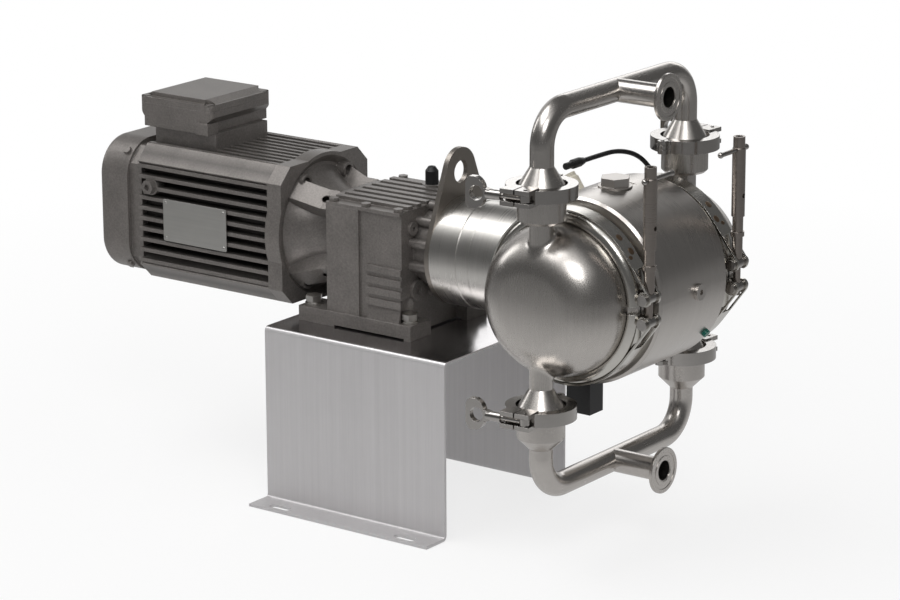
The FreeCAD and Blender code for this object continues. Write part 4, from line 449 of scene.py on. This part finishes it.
def domes(name, spots, radius, height, material, segments=20):
    """A piece of equal domes at (place, direction) spots, from the node tree."""
    tree = bpy.data.node_groups.get("domes_on_points") or domes_tree()
    mesh = bpy.data.meshes.new(name + "_points")
    mesh.from_pydata([tuple(place) for place, _ in spots], [], [])
    ways = mesh.attributes.new("out", "FLOAT_VECTOR", "POINT")
    for item, (_, way) in zip(ways.data, spots):
        item.vector = way
    carrier = bpy.data.objects.new(name + "_points", mesh)
    bpy.context.scene.collection.objects.link(carrier)
    modifier = carrier.modifiers.new("domes", "NODES")
    modifier.node_group = tree
    known = {"Radius": radius, "Height": height, "Segments": segments, "Finish": material}
    for item in tree.interface.items_tree:
        if item.in_out == "INPUT" and item.name in known:
            modifier[item.identifier] = known[item.name]
    plain = plain_copy(carrier)
    carrier.modifiers.remove(modifier)
    bpy.data.objects.remove(carrier)
    plain.name = name
    return keep(name, smooth(plain), "pump", material)


def stitch(bm, rings):
    """Faces between equal rings of points, round to the first ring again."""
    made = [[bm.verts.new(point) for point in ring] for ring in rings]
    for lower, upper in zip(made, made[1:] + made[:1]):
        for index in range(len(lower)):
            after = (index + 1) % len(lower)
            bm.faces.new([lower[index], lower[after], upper[after], upper[index]])


# Settings

class PumpColours(bpy.types.PropertyGroup):
    """Colours of the finishes."""

    paint: bpy.props.FloatVectorProperty(
        name="Casting paint", description="Metallic paint of the motor and reducer",
        subtype="COLOR", size=3, min=0, max=1, default=(0.192, 0.177, 0.166))
    stainless: bpy.props.FloatVectorProperty(
        name="Stainless", description="Brushed stainless of the pump",
        subtype="COLOR", size=3, min=0, max=1, default=(0.60, 0.57, 0.54))
    sheet: bpy.props.FloatVectorProperty(
        name="Stand sheet", description="Sheet stainless of the stand",
        subtype="COLOR", size=3, min=0, max=1, default=(0.66, 0.645, 0.65))
    plastic: bpy.props.FloatVectorProperty(
        name="Black plastic", description="Breather, connector and junction block",
        subtype="COLOR", size=3, min=0, max=1, default=(0.012, 0.012, 0.013))
    cream: bpy.props.FloatVectorProperty(
        name="Cream plastic", description="Body of the leak sensor",
        subtype="COLOR", size=3, min=0, max=1, default=(0.66, 0.62, 0.52))
    floor: bpy.props.FloatVectorProperty(
        name="Floor", description="Colour of the studio floor",
        subtype="COLOR", size=3, min=0, max=1, default=(0.93, 0.93, 0.93))


class PumpSizes(bpy.types.PropertyGroup):
    """Sizes of the pieces that this file adds."""

    lead_diameter: bpy.props.FloatProperty(
        name="Lead diameter", description="Outside diameter of the sensor lead",
        unit="LENGTH", min=0.003, max=0.01, default=0.0054)
    lead_length: bpy.props.FloatProperty(
        name="Lead length", description="Length of the sensor lead with its coil",
        unit="LENGTH", min=0.7, max=5.0, default=2.0)
    coil_radius: bpy.props.FloatProperty(
        name="Coil radius", description="Mean radius of the coil's turns",
        unit="LENGTH", min=0.02, max=0.08, default=0.030)
    plate_length: bpy.props.FloatProperty(
        name="Plate length", description="Length of the bare plate on the motor",
        unit="LENGTH", min=0.02, max=0.2, default=0.093)
    plate_height: bpy.props.FloatProperty(
        name="Plate height", description="Height of the bare plate on the motor",
        unit="LENGTH", min=0.01, max=0.1, default=0.049)
    camera_azimuth: bpy.props.FloatProperty(
        name="Camera azimuth", description="Turn of the camera round the pump",
        subtype="ANGLE", unit="ROTATION", default=math.radians(36.29))
    camera_elevation: bpy.props.FloatProperty(
        name="Camera elevation", description="Height angle of the camera",
        subtype="ANGLE", unit="ROTATION", default=math.radians(15.64))
    camera_distance: bpy.props.FloatProperty(
        name="Camera distance", description="Distance of the camera from its target",
        unit="LENGTH", min=0.5, max=10.0, default=3.74706)
    camera_lens: bpy.props.FloatProperty(
        name="Lens", description="Focal length on a 36 mm sensor",
        unit="CAMERA", min=20.0, max=300.0, default=138.62)


def settings():
    return bpy.context.scene.pump_sizes, bpy.context.scene.pump_colours


# Stage

class PUMP_OT_stage(bpy.types.Operator):
    """Camera, floor, lamps and world"""

    bl_idname = "pump.stage"
    bl_label = "Stage"

    def execute(self, context):
        sizes, colours = settings()
        scene = context.scene
        scene.view_settings.view_transform = "Standard"
        self.camera(scene, sizes)
        self.floor(scene, colours)
        self.lamps(scene)
        self.world(scene)
        return {"FINISHED"}

    def camera(self, scene, sizes):
        azimuth, elevation = sizes.camera_azimuth, sizes.camera_elevation
        forward = Vector((-math.sin(azimuth) * math.cos(elevation),
                          math.cos(azimuth) * math.cos(elevation), -math.sin(elevation)))
        right = Vector((math.cos(azimuth), math.sin(azimuth), 0))
        up = right.cross(forward)
        tilted_right = right * math.cos(CAMERA_ROLL) + up * math.sin(CAMERA_ROLL)
        tilted_up = up * math.cos(CAMERA_ROLL) - right * math.sin(CAMERA_ROLL)
        turn = Matrix((tilted_right, tilted_up, -forward)).transposed().to_4x4()
        data = bpy.data.cameras.new("photo_camera")
        data.sensor_width = 36.0
        data.lens = sizes.camera_lens
        data.clip_start, data.clip_end = 0.05, 60.0
        camera = bpy.data.objects.new("photo_camera", data)
        place = CAMERA_TARGET - forward * sizes.camera_distance
        camera.matrix_world = Matrix.Translation(place) @ turn
        scene.collection.objects.link(camera)
        scene.camera = camera

    def floor(self, scene, colours):
        mesh = mesh_from("floor", lambda bm: bmesh.ops.create_grid(
            bm, x_segments=8, y_segments=8, size=9.0))
        finish = Finish("studio_floor", Roughness=0.6, Specular_IOR_Level=0.15)
        cloud = finish.noise(finish.coordinates(), 1.2, 2.0)
        base = tuple(colours.floor)
        finish.set(Base_Color=finish.mix(cloud, tuple(c * 0.985 for c in base), base))
        tree = finish.tree
        paths = tree.nodes.new("ShaderNodeLightPath")
        seen = Wire(tree, paths.outputs["Is Camera Ray"])
        mirrored = Wire(tree, paths.outputs["Is Glossy Ray"])
        through = Wire(tree, paths.outputs["Is Transmission Ray"])
        x, y, z = finish.parts_of(finish.coordinates())
        reach = (x * x + y * y).root()
        # What metal mirrors of the floor is a painted pool of light, brightest near the stand
        # and fading with the distance from it
        lit = 0.17 + 0.39 * (1.0 - reach.between(0.5, 1.3))
        white = tree.nodes.new("ShaderNodeEmission")
        connect(tree, white.inputs["Strength"], 1.0 * seen + (1.0 - seen) * lit)
        blend = tree.nodes.new("ShaderNodeMixShader")
        # Near the stand the camera sees some of the lit floor, which keeps the shadow
        white_share = 0.76 + 0.24 * reach.between(0.55, 1.5)
        share = seen * white_share + (mirrored + through).held() * 0.9
        tree.links.new(share.socket, blend.inputs[0])
        tree.links.new(finish.shader.outputs[0], blend.inputs[1])
        tree.links.new(white.outputs[0], blend.inputs[2])
        tree.links.new(blend.outputs[0], finish.output.inputs["Surface"])
        floor = bpy.data.objects.new("floor", mesh)
        scene.collection.objects.link(floor)
        mesh.materials.append(finish.material)
        mesh.transform(Matrix.Translation((0, 0, -0.0004)))

    def lamps(self, scene):
        for name, at, (width, height), power in SOFTBOXES:
            data = bpy.data.lights.new(name, "AREA")
            data.shape = "RECTANGLE"
            data.size, data.size_y = width, height
            data.energy = power
            lamp = bpy.data.objects.new(name, data)
            lamp.location = at
            aim = LAMP_AIM - Vector(at)
            lamp.rotation_euler = aim.to_track_quat("-Z", "Y").to_euler()
            scene.collection.objects.link(lamp)

    def world(self, scene):
        world = bpy.data.worlds.new("studio")
        world.use_nodes = True
        tree = world.node_tree
        tree.nodes.clear()
        output = tree.nodes.new("ShaderNodeOutputWorld")
        paths = tree.nodes.new("ShaderNodeLightPath")
        seen = Wire(tree, paths.outputs["Is Camera Ray"])
        mirrored = Wire(tree, paths.outputs["Is Glossy Ray"])
        through = Wire(tree, paths.outputs["Is Transmission Ray"])
        place = tree.nodes.new("ShaderNodeTexCoord")
        parts = tree.nodes.new("ShaderNodeSeparateXYZ")
        tree.links.new(place.outputs["Generated"], parts.inputs[0])
        x, y, z = [Wire(tree, out) for out in parts.outputs]

        def toward(degrees):
            """How far a direction points to a bearing; 0 is the front, 90 is +X."""
            turn = math.radians(degrees)
            return x * math.sin(turn) - y * math.cos(turn)

        above = z.between(0.56, 0.74) * toward(-10).between(-0.2, 0.3)
        backdrop = toward(-145).between(0.74, 0.9) * (1.0 - z.between(0.3, 0.5))
        flank = toward(-95).between(0.6, 0.8) * z.between(0.3, 0.45)
        near_floor = 1.0 - z.between(-0.25, 0.02)
        window = toward(-42).between(0.38, 0.5) * z.between(0.7, 0.8)
        room = (ROOM["base"] + ROOM["above"] * above + ROOM["backdrop"] * backdrop
                + ROOM["flank"] * flank + ROOM["near_floor"] * near_floor
                + ROOM["window"] * window)
        glossy = (mirrored + through).held()
        unseen = glossy * room + (1.0 - glossy) * ROOM["plain"]
        strength = seen * 1.0 + (1.0 - seen) * unseen
        background = tree.nodes.new("ShaderNodeBackground")
        background.inputs["Color"].default_value = (1.0, 1.0, 1.0, 1.0)
        tree.links.new(strength.socket, background.inputs["Strength"])
        tree.links.new(background.outputs[0], output.inputs["Surface"])
        scene.world = world


# Sensor lead

ROUTE_MM = [
    (193.0, 46.0, 403.5), (193.0, 74.0, 403.5), (199.0, 104.0, 405.0), (208.0, 132.0, 396.0),
    (216.0, 150.0, 374.0), (217.0, 160.0, 346.0), (205.0, 161.0, 318.0), (185.0, 155.0, 294.0),
    (161.0, 145.0, 268.0), (138.0, 130.0, 240.0), (114.0, 114.0, 217.0), (88.0, 103.0, 206.6),
    (58.0, 98.0, 205.0), (28.0, 97.0, 205.3), (6.0, 103.0, 205.6), (-16.0, 125.0, 204.0),
    (-24.0, 122.0, 172.0), (-30.0, 124.0, 135.0), (-34.0, 126.0, 92.0), (-37.0, 129.0, 52.0),
    (-40.0, 138.0, 22.0), (-41.0, 156.0, 6.0), (-34.5, 173.0, 2.9),
]
COIL_MIDDLE = Vector((-0.044, 0.2158, 0.0))
POINTS_PER_TURN = 16
TIE_BEARINGS = (35, 200)
TIE_HALF_WIDTH = 0.0016
TIE_THICK = 0.0009
TIE_POINTS = 20


def coil_points(diameter, mean):
    """Points of the put-away turns: four inwards on the floor, then three outwards on top."""
    points = []
    start = math.radians(-52)
    below, above = 4.0, 3.0
    outer, inner = mean + 1.45 * diameter, mean - 1.5 * diameter
    steps = int(below * POINTS_PER_TURN)
    for step in range(steps + 1):
        share = step / steps
        angle = start + 2 * math.pi * below * share
        radius = outer + (inner - outer) * share
        points.append((angle, radius, diameter / 2))
    steps = int(above * POINTS_PER_TURN)
    first, last = mean - diameter, mean + diameter * 1.02
    for step in range(2, steps + 1):
        share = step / steps
        angle = start + 2 * math.pi * (below + above * share)
        radius = first + (last - first) * share
        rise = min(1.0, step / 6.0)
        height = diameter / 2 + diameter * 0.9 * rise
        points.append((angle, radius, height))
    return [COIL_MIDDLE + Vector((radius * math.cos(angle), radius * math.sin(angle), height))
            for angle, radius, height in points]


class PUMP_OT_lead(bpy.types.Operator):
    """Sensor lead with its put-away coil and ties"""

    bl_idname = "pump.lead"
    bl_label = "Sensor lead"

    def execute(self, context):
        sizes, colours = settings()
        jacket = moulded("lead_jacket", (0.010, 0.010, 0.011), (0.32, 0.46), 1400.0, 0.00003)
        points = [Vector(point) * MM for point in ROUTE_MM]
        points += coil_points(sizes.lead_diameter, sizes.coil_radius)
        data = bpy.data.curves.new("sensor_lead", "CURVE")
        data.dimensions = "3D"
        spline = data.splines.new("NURBS")
        spline.points.add(len(points) - 1)
        for spot, point in zip(spline.points, points):
            spot.co = (*point, 1.0)
        spline.order_u = 3
        spline.use_endpoint_u = True
        spline.resolution_u = 6
        data.bevel_depth = sizes.lead_diameter / 2
        data.bevel_resolution = 4
        data.use_fill_caps = True
        data.materials.append(jacket)
        lead = bpy.data.objects.new("sensor_lead", data)
        context.scene.collection.objects.link(lead)
        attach(lead, "pump")
        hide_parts("sensor_cable", "cable_coil")
        ties = self.ties(sizes, colours)
        tip = self.tip(points, colours)
        return {"FINISHED"}

    def ties(self, sizes, colours):
        """Two narrow ties round the coil's turns."""
        half_wide = sizes.lead_diameter * 2.05
        high = sizes.lead_diameter * 1.95

        def build(bm):
            for degrees in TIE_BEARINGS:
                angle = math.radians(degrees)
                out = Vector((math.cos(angle), math.sin(angle), 0))
                side = Vector((-out.y, out.x, 0))
                middle = COIL_MIDDLE + out * sizes.coil_radius
                rings = []
                for across in (-TIE_HALF_WIDTH, TIE_HALF_WIDTH):
                    for grow in (0.0, TIE_THICK):
                        ring = []
                        for index in range(TIE_POINTS):
                            turn = 2 * math.pi * index / TIE_POINTS
                            wide = (half_wide + grow) * math.copysign(
                                abs(math.cos(turn)) ** 0.5, math.cos(turn))
                            tall = (high / 2 + grow) * math.copysign(
                                abs(math.sin(turn)) ** 0.5, math.sin(turn))
                            level = max(0.0002, high / 2 + tall)
                            ring.append(bm.verts.new(
                                middle + out * wide + side * across + Vector((0, 0, level))))
                        rings.append(ring)
                for a, b in ((0, 1), (1, 3), (3, 2), (2, 0)):
                    for index in range(TIE_POINTS):
                        after = (index + 1) % TIE_POINTS
                        bm.faces.new([rings[a][index], rings[a][after],
                                      rings[b][after], rings[b][index]])

        material = moulded("tie_plastic", tuple(colours.plastic), (0.4, 0.5))
        return keep("coil_ties", smooth(mesh_from("coil_ties", build)), "pump", material)

    def tip(self, points, colours):
        """Crimped sleeve over the lead's cut end."""
        end, before = points[-1], points[-2]
        outline = [(0.0, -0.004), (0.0029, -0.004), (0.0031, -0.003), (0.0031, 0.003),
                   (0.0026, 0.004), (0.0, 0.004)]
        way = (end - before).normalized()
        mesh = mesh_from("lead_sleeve", lambda bm: revolve(bm, outline, end, way, 24))
        material = moulded("sleeve_plastic", tuple(colours.plastic), (0.4, 0.5))
        return keep("lead_sleeve", smooth(mesh), "pump", material)


# Finishes of the carried-over pieces

class PUMP_OT_finishes(bpy.types.Operator):
    """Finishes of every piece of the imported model"""

    bl_idname = "pump.finishes"
    bl_label = "Finishes"

    def execute(self, context):
        colours = settings()[1]
        steel = tuple(colours.stainless)
        paint = tuple(colours.paint)
        bright = (0.66, 0.64, 0.61)
        made = {
            "grey_paint": cast_paint("casting_paint", paint, DRIVE_AXIS),
            "finned": cast_paint("finned_paint", paint, DRIVE_AXIS, (0.064, 0.079)),
            "sheet": brushed("stand_sheet", tuple(colours.sheet), (0, 0, 0), "along_z",
                             (0.42, 0.5), 0.000003, 0.0008, 0.35, 0.55, 0.1985),
            "round_x": brushed("turned_adapter", bright, DRIVE_AXIS, "round_x",
                               (0.24, 0.34), 0.000008),
            "round_y": brushed("brushed_body", steel, PUMP_CENTRE, "round_y",
                               (0.24, 0.36), 0.000008),
            "plugs": stoppers("plug_finish", steel),
            "pipe": brushed("brushed_pipe", steel, PUMP_CENTRE, "along_y",
                            (0.2, 0.3), 0.000006),
            "plate": brushed("lifting_plate", (0.34, 0.31, 0.28), DRIVE_AXIS, "along_z",
                             (0.32, 0.46), 0.00003),
            "spindle_front": brushed("turned_spindle", (0.40, 0.36, 0.33),
                                     (0.365, -0.086, 0.3), "round_z", (0.24, 0.36)),
            "spindle_rear": brushed("turned_spindle_rear", (0.40, 0.36, 0.33),
                                    (0.365, 0.086, 0.3), "round_z", (0.24, 0.36)),
            "polish": polished("cast_clamp", (0.47, 0.45, 0.43), PUMP_CENTRE),
            "band": polished("polished_band", (0.66, 0.64, 0.6), PUMP_CENTRE, (0.14, 0.26)),
            "bolt": machined("plated_bolt", (0.62, 0.6, 0.57)),
            "gear": machined("gear_steel", (0.42, 0.42, 0.43)),
            "iron": machined("stator_iron", (0.3, 0.24, 0.19), (0.45, 0.65)),
            "bronze": machined("yoke_bronze", (0.55, 0.40, 0.22)),
            "black": moulded("black_plastic", tuple(colours.plastic)),
            "fan": moulded("fan_plastic", (0.03, 0.03, 0.03), (0.45, 0.6)),
            "cream": moulded("cream_plastic", tuple(colours.cream), (0.35, 0.5)),
            "rubber": moulded("diaphragm_rubber", (0.03, 0.03, 0.03), (0.6, 0.75), 1200.0),
            "gasket": moulded("gasket_rubber", (0.72, 0.71, 0.68), (0.5, 0.6)),
            "ball": moulded("ball_plastic", (0.82, 0.81, 0.76), (0.3, 0.4)),
        }
        chosen = {
            "base_stand": "sheet", "lifting_plate": "plate", "drive_adapter": "round_x",
            "pump_housing": "round_y", "housing_plugs": "plugs", "front_cover": "pipe",
            "rear_cover": "pipe", "motor_frame": "finned", "front_clamp_band": "band",
            "rear_clamp_band": "band", "discharge_manifold": "pipe", "suction_manifold": "pipe",
            "front_spindle": "spindle_front", "rear_spindle": "spindle_rear",
            "foot_bolts": "bolt", "machine_screws": "grey_paint", "bearings": "bolt",
            "diaphragm_discs": "bolt", "crank_bearing": "bolt", "clamp_barrels": "polish",
            "shuttle_yoke": "bronze", "stator": "iron", "valve_gaskets": "gasket",
            "cooling_fan": "fan", "breather_cap": "black", "sensor_connector": "black",
            "junction_box": "black", "leak_sensor": "cream", "front_diaphragm": "rubber",
            "rear_diaphragm": "rubber",
        }
        by_slot = {"grey_paint": "grey_paint", "gear_steel": "gear",
                   "polished_stainless": "polish", "ball_plastic": "ball"}
        slots = {part["node"]: part["material_slot"] for part in frame["record"]["subparts"]}
        for name, node in frame["nodes"].items():
            key = chosen.get(name) or by_slot.get(slots.get(name))
            if key is None:
                if name in ("sensor_cable", "cable_coil"):
                    key = "black"
                else:
                    raise RuntimeError("no finish for " + name)
            if not node.material_slots:
                node.data.materials.append(made[key])
            for slot in node.material_slots:
                slot.material = made[key]
        return {"FINISHED"}


# Covers

DISH = {"radius": 0.082, "knuckle": 0.052, "start": 0.107, "crown": 0.260, "wall": 0.002}

# Radius and distance from the pump's plane of the clamped rim's corners
RIM = [(0.090, 0.08725), (0.090, 0.09125), (0.0835, 0.09775), (0.082, 0.0985)]
NECK = {"outer": 0.0127, "bore": 0.01105, "flare": 0.005, "rise": 0.006}

# Radius and height above the floor, from the neck round the open end and back to the bore
UPPER_CUP = [(0.0127, 0.3845), (0.0227, 0.3845), (0.0257, 0.3875), (0.0257, 0.41475),
             (0.032, 0.41475), (0.032, 0.4176), (0.02405, 0.4176), (0.02405, 0.38615),
             (0.01105, 0.38615)]
LOWER_FERRULE = [(0.0127, 0.2049), (0.0257, 0.18375), (0.032, 0.18375), (0.032, 0.1809),
                 (0.02405, 0.1809), (0.01105, 0.2029)]


def dish_curve(inset, steps=26):
    """Points of the dish from its pole to its straight edge, moved in by inset."""
    knuckle, crown = DISH["knuckle"], DISH["crown"]
    span = DISH["radius"] - knuckle
    centre = DISH["start"] - math.sqrt((crown - knuckle) ** 2 - span ** 2)
    meet = math.asin(span / (crown - knuckle))
    points = []
    for step in range(9):
        angle = meet * step / 8
        points.append(((crown - inset) * math.sin(angle),
                       centre + (crown - inset) * math.cos(angle)))
    for step in range(1, steps + 1):
        angle = meet + (math.pi / 2 - meet) * step / steps
        points.append((span + (knuckle - inset) * math.sin(angle),
                       DISH["start"] + (knuckle - inset) * math.cos(angle)))
    return points


def dish_height(across, out):
    """Height of the dish over the pump's axis at a place across and out from the middle."""
    span, knuckle = DISH["radius"] - DISH["knuckle"], DISH["knuckle"]
    deep = max(0.0, out - DISH["start"])
    radius = span + math.sqrt(max(0.0, knuckle ** 2 - deep ** 2))
    return math.sqrt(max(0.0, radius ** 2 - across ** 2))


class PUMP_OT_covers(bpy.types.Operator):
    """Dished covers with their necks, whose faces are smooth enough to mirror the room"""

    bl_idname = "pump.covers"
    bl_label = "Covers"

    def execute(self, context):
        colours = settings()[1]
        steel = brushed("brushed_dish", tuple(colours.stainless), PUMP_CENTRE, "along_z",
                        (0.22, 0.32), 0.000009, 0.0)
        for name, side in (("front", -1), ("rear", 1)):
            def build(bm):
                self.shell(bm, side)
                self.neck(bm, side, 1, UPPER_CUP)
                self.neck(bm, side, -1, LOWER_FERRULE)

            mesh = smooth(mesh_from(name + "_dished_cover", build), 30.0)
            piece = keep(name + "_dished_cover", mesh, "pump", steel)
            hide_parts(name + "_cover")
        return {"FINISHED"}

    def shell(self, bm, side):
        outside = dish_curve(0.0) + RIM[::-1]
        inside = [(DISH["radius"] - DISH["wall"], RIM[0][1]), *dish_curve(DISH["wall"])[::-1]]
        revolve(bm, outside + inside, PUMP_CENTRE, (0, side, 0), 144)

    def neck(self, bm, side, up, end):
        """A pipe that flares into the dish, with the cup or ferrule at its end."""
        count, curve_steps = 64, 8
        rings = [[] for _ in range(curve_steps + 2 + len(end))]
        for index in range(count):
            turn = 2 * math.pi * index / count
            a, b = math.cos(turn), math.sin(turn)

            def level(radius):
                return dish_height(a * radius, VALVE_OFFSET + b * radius)

            def spot(radius, height):
                return (PUMP_CENTRE.x + a * radius, side * (VALVE_OFFSET + b * radius),
                        PUMP_CENTRE.z + up * height)

            edge = NECK["outer"] + NECK["flare"]
            slope = (level(edge) - level(edge - 0.0005)) / 0.0005
            corner = level(edge) - slope * NECK["flare"]
            rings[0].append(spot(NECK["bore"], corner - 0.004))
            for step in range(curve_steps + 1):
                share = step / curve_steps
                near, middle, far = (1 - share) ** 2, 2 * share * (1 - share), share ** 2
                radius = near * edge + (middle + far) * NECK["outer"]
                height = (near * (level(edge) - 0.00003) + middle * corner
                          + far * (corner + NECK["rise"]))
                rings[step + 1].append(spot(radius, height))
            for slot, (radius, height) in enumerate(end):
                rings[curve_steps + 2 + slot].append(
                    spot(radius, up * (height - PUMP_CENTRE.z)))
        stitch(bm, rings)


# Diaphragms

# Each diaphragm is cut into this many wedges, each a piece of its own
SECTORS = 8


class PUMP_OT_diaphragms(bpy.types.Operator):
    """Diaphragms cut into wedges, each a piece of its own"""

    bl_idname = "pump.diaphragms"
    bl_label = "Diaphragms"

    def execute(self, context):
        rubber = moulded("flexing_rubber", (0.03, 0.03, 0.03), (0.6, 0.75), 1200.0)
        for side in ("front", "rear"):
            node = frame["nodes"][side + "_diaphragm"]
            for index in range(SECTORS):
                self.sector(node, side, index, rubber)
        return {"FINISHED"}

    def sector(self, node, side, index, rubber):
        """One wedge of a diaphragm, cut out between two planes through the pump's axis."""
        middle, half = 2 * math.pi * index / SECTORS, math.pi / SECTORS
        bm = bmesh.new()
        bm.from_mesh(node.data)
        bm.transform(node.matrix_world)
        bmesh.ops.remove_doubles(bm, verts=bm.verts, dist=1e-6)
        for turn, way in ((middle - half, 1), (middle + half, -1)):
            bmesh.ops.bisect_plane(
                bm, geom=bm.verts[:] + bm.edges[:] + bm.faces[:], clear_inner=True,
                plane_co=PUMP_CENTRE,
                plane_no=Vector((-math.sin(turn), 0, math.cos(turn))) * way)
            bmesh.ops.holes_fill(bm, edges=[edge for edge in bm.edges if edge.is_boundary])
        name = "%s_diaphragm_part_%d" % (side, index + 1)
        mesh = bpy.data.meshes.new(name)
        bm.to_mesh(mesh)
        bm.free()
        piece = bpy.data.objects.new(name, smooth(mesh))
        bpy.context.scene.collection.objects.link(piece)
        mesh.materials.clear()
        mesh.materials.append(rubber)
        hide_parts(side + "_diaphragm")
        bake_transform(piece)


# Plates and marks

PLATE_MIDDLE = Vector((-0.2525, -0.0800, 0.2915))
PLATE_CORNER = 0.002
PLATE_THICK = 0.0012
RIVET_INSET = 0.004
RIVET_RADIUS = 0.0018
RIVET_HEIGHT = 0.0011

# Angle above the middle and distance from the pump's plane of each weld spot
WELD_SPOTS = ((49, 0.0865), (38, 0.083), (33, 0.0895), (-31, 0.086))
WELD_RADIUS = 0.0042
WELD_HEIGHT = 0.0003
STRAP_RADIUS = 0.0955

PORT_FACE = 0.331
PORT_HEIGHTS = (("discharge", 0.499), ("suction", 0.090))
PORT_RINGS = ((0.0122, 0.0165), (0.0205, 0.02505))


class PUMP_OT_plate(bpy.types.Operator):
    """Bare rating plate on the motor's fins, with its drive rivets"""

    bl_idname = "pump.plate"
    bl_label = "Rating plate"

    def execute(self, context):
        sizes = settings()[0]
        half_long, half_high = sizes.plate_length / 2, sizes.plate_height / 2

        def build(bm):
            outline = []
            for sx, sz, start in ((1, 1, 0), (-1, 1, 90), (-1, -1, 180), (1, -1, 270)):
                for step in range(5):
                    angle = math.radians(start + step * 22.5)
                    outline.append(
                        (sx * (half_long - PLATE_CORNER) + PLATE_CORNER * math.cos(angle),
                         sz * (half_high - PLATE_CORNER) + PLATE_CORNER * math.sin(angle)))
            front = [bm.verts.new(PLATE_MIDDLE + Vector((a, -PLATE_THICK, b)))
                     for a, b in outline]
            back = [bm.verts.new(PLATE_MIDDLE + Vector((a, 0.0, b))) for a, b in outline]
            bm.faces.new(front)
            bm.faces.new(back[::-1])
            for index in range(len(outline)):
                after = (index + 1) % len(outline)
                bm.faces.new([front[index], back[index], back[after], front[after]])

        plate = brushed("plate_aluminium", (0.68, 0.67, 0.64), PLATE_MIDDLE, "along_x",
                        (0.34, 0.48), 0.00002)
        keep("rating_plate", mesh_from("rating_plate", build), "pump", plate)

        rivets = []
        for sx in (-1, 1):
            for sz in (-1, 1):
                offset = Vector((sx * (half_long - RIVET_INSET), -PLATE_THICK,
                                 sz * (half_high - RIVET_INSET)))
                rivets.append((PLATE_MIDDLE + offset, (0, -1, 0)))
        domes("plate_rivets", rivets, RIVET_RADIUS, RIVET_HEIGHT,
              machined("rivet_steel", (0.6, 0.59, 0.57)))
        return {"FINISHED"}


class PUMP_OT_weld_spots(bpy.types.Operator):
    """Heat-tinted weld spots on the two straps, and the ring grooves of the port faces"""

    bl_idname = "pump.weld_spots"
    bl_label = "Weld spots and port rings"

    def execute(self, context):
        tint = machined("weld_tint", (0.27, 0.19, 0.13), (0.4, 0.55))
        for name, side in (("front", -1), ("rear", 1)):
            spots = []
            for degrees, out in WELD_SPOTS:
                angle = math.radians(degrees)
                way = Vector((math.cos(angle), 0, math.sin(angle)))
                spots.append((PUMP_CENTRE + way * STRAP_RADIUS + Vector((0, side * out, 0)),
                              way))
            domes(name + "_weld_spots", spots, WELD_RADIUS, WELD_HEIGHT, tint,
                  24)
        steel = brushed("port_face", (0.6, 0.57, 0.54), (0, 0, 0), "plain", (0.22, 0.34))
        for name, height in PORT_HEIGHTS:
            def build(bm):
                for inner, outer in PORT_RINGS:
                    outline = [(inner, -0.0003), (inner, 0.0004), (inner + 0.0002, 0.0006),
                               (outer - 0.0003, 0.0006), (outer, 0.0003), (outer, -0.0003),
                               (inner, -0.0003)]
                    revolve(bm, outline, (PORT_FACE, 0.0, height), (1, 0, 0), 64)

            keep(name + "_port_rings", smooth(mesh_from(name + "_port_rings", build)), "pump",
                 steel)
        return {"FINISHED"}


class PUMP_PT_panel(bpy.types.Panel):
    """Lists the pump's pieces"""

    bl_idname = "PUMP_PT_panel"
    bl_label = "Diaphragm pump"
    bl_space_type = "VIEW_3D"
    bl_region_type = "UI"
    bl_category = "Pump"

    def draw(self, context):
        layout = self.layout
        for operator in OPERATORS:
            layout.operator(operator.bl_idname)
        for group in (context.scene.pump_sizes, context.scene.pump_colours):
            for name in group.bl_rna.properties.keys():
                if name not in ("rna_type", "name"):
                    layout.prop(group, name)


OPERATORS = [PUMP_OT_stage, PUMP_OT_lead, PUMP_OT_finishes, PUMP_OT_covers,
             PUMP_OT_diaphragms, PUMP_OT_plate, PUMP_OT_weld_spots]
CLASSES = [PumpSizes, PumpColours, *OPERATORS, PUMP_PT_panel]


def register():
    for one in CLASSES:
        bpy.utils.register_class(one)
    bpy.types.Scene.pump_sizes = bpy.props.PointerProperty(type=PumpSizes)
    bpy.types.Scene.pump_colours = bpy.props.PointerProperty(type=PumpColours)


def unregister():
    del bpy.types.Scene.pump_sizes
    del bpy.types.Scene.pump_colours
    for one in reversed(CLASSES):
        bpy.utils.unregister_class(one)


def main():
    register()
    for operator in OPERATORS:
        group, name = operator.bl_idname.split(".")
        getattr(getattr(bpy.ops, group), name)()


if __name__ == "__main__":
    main()
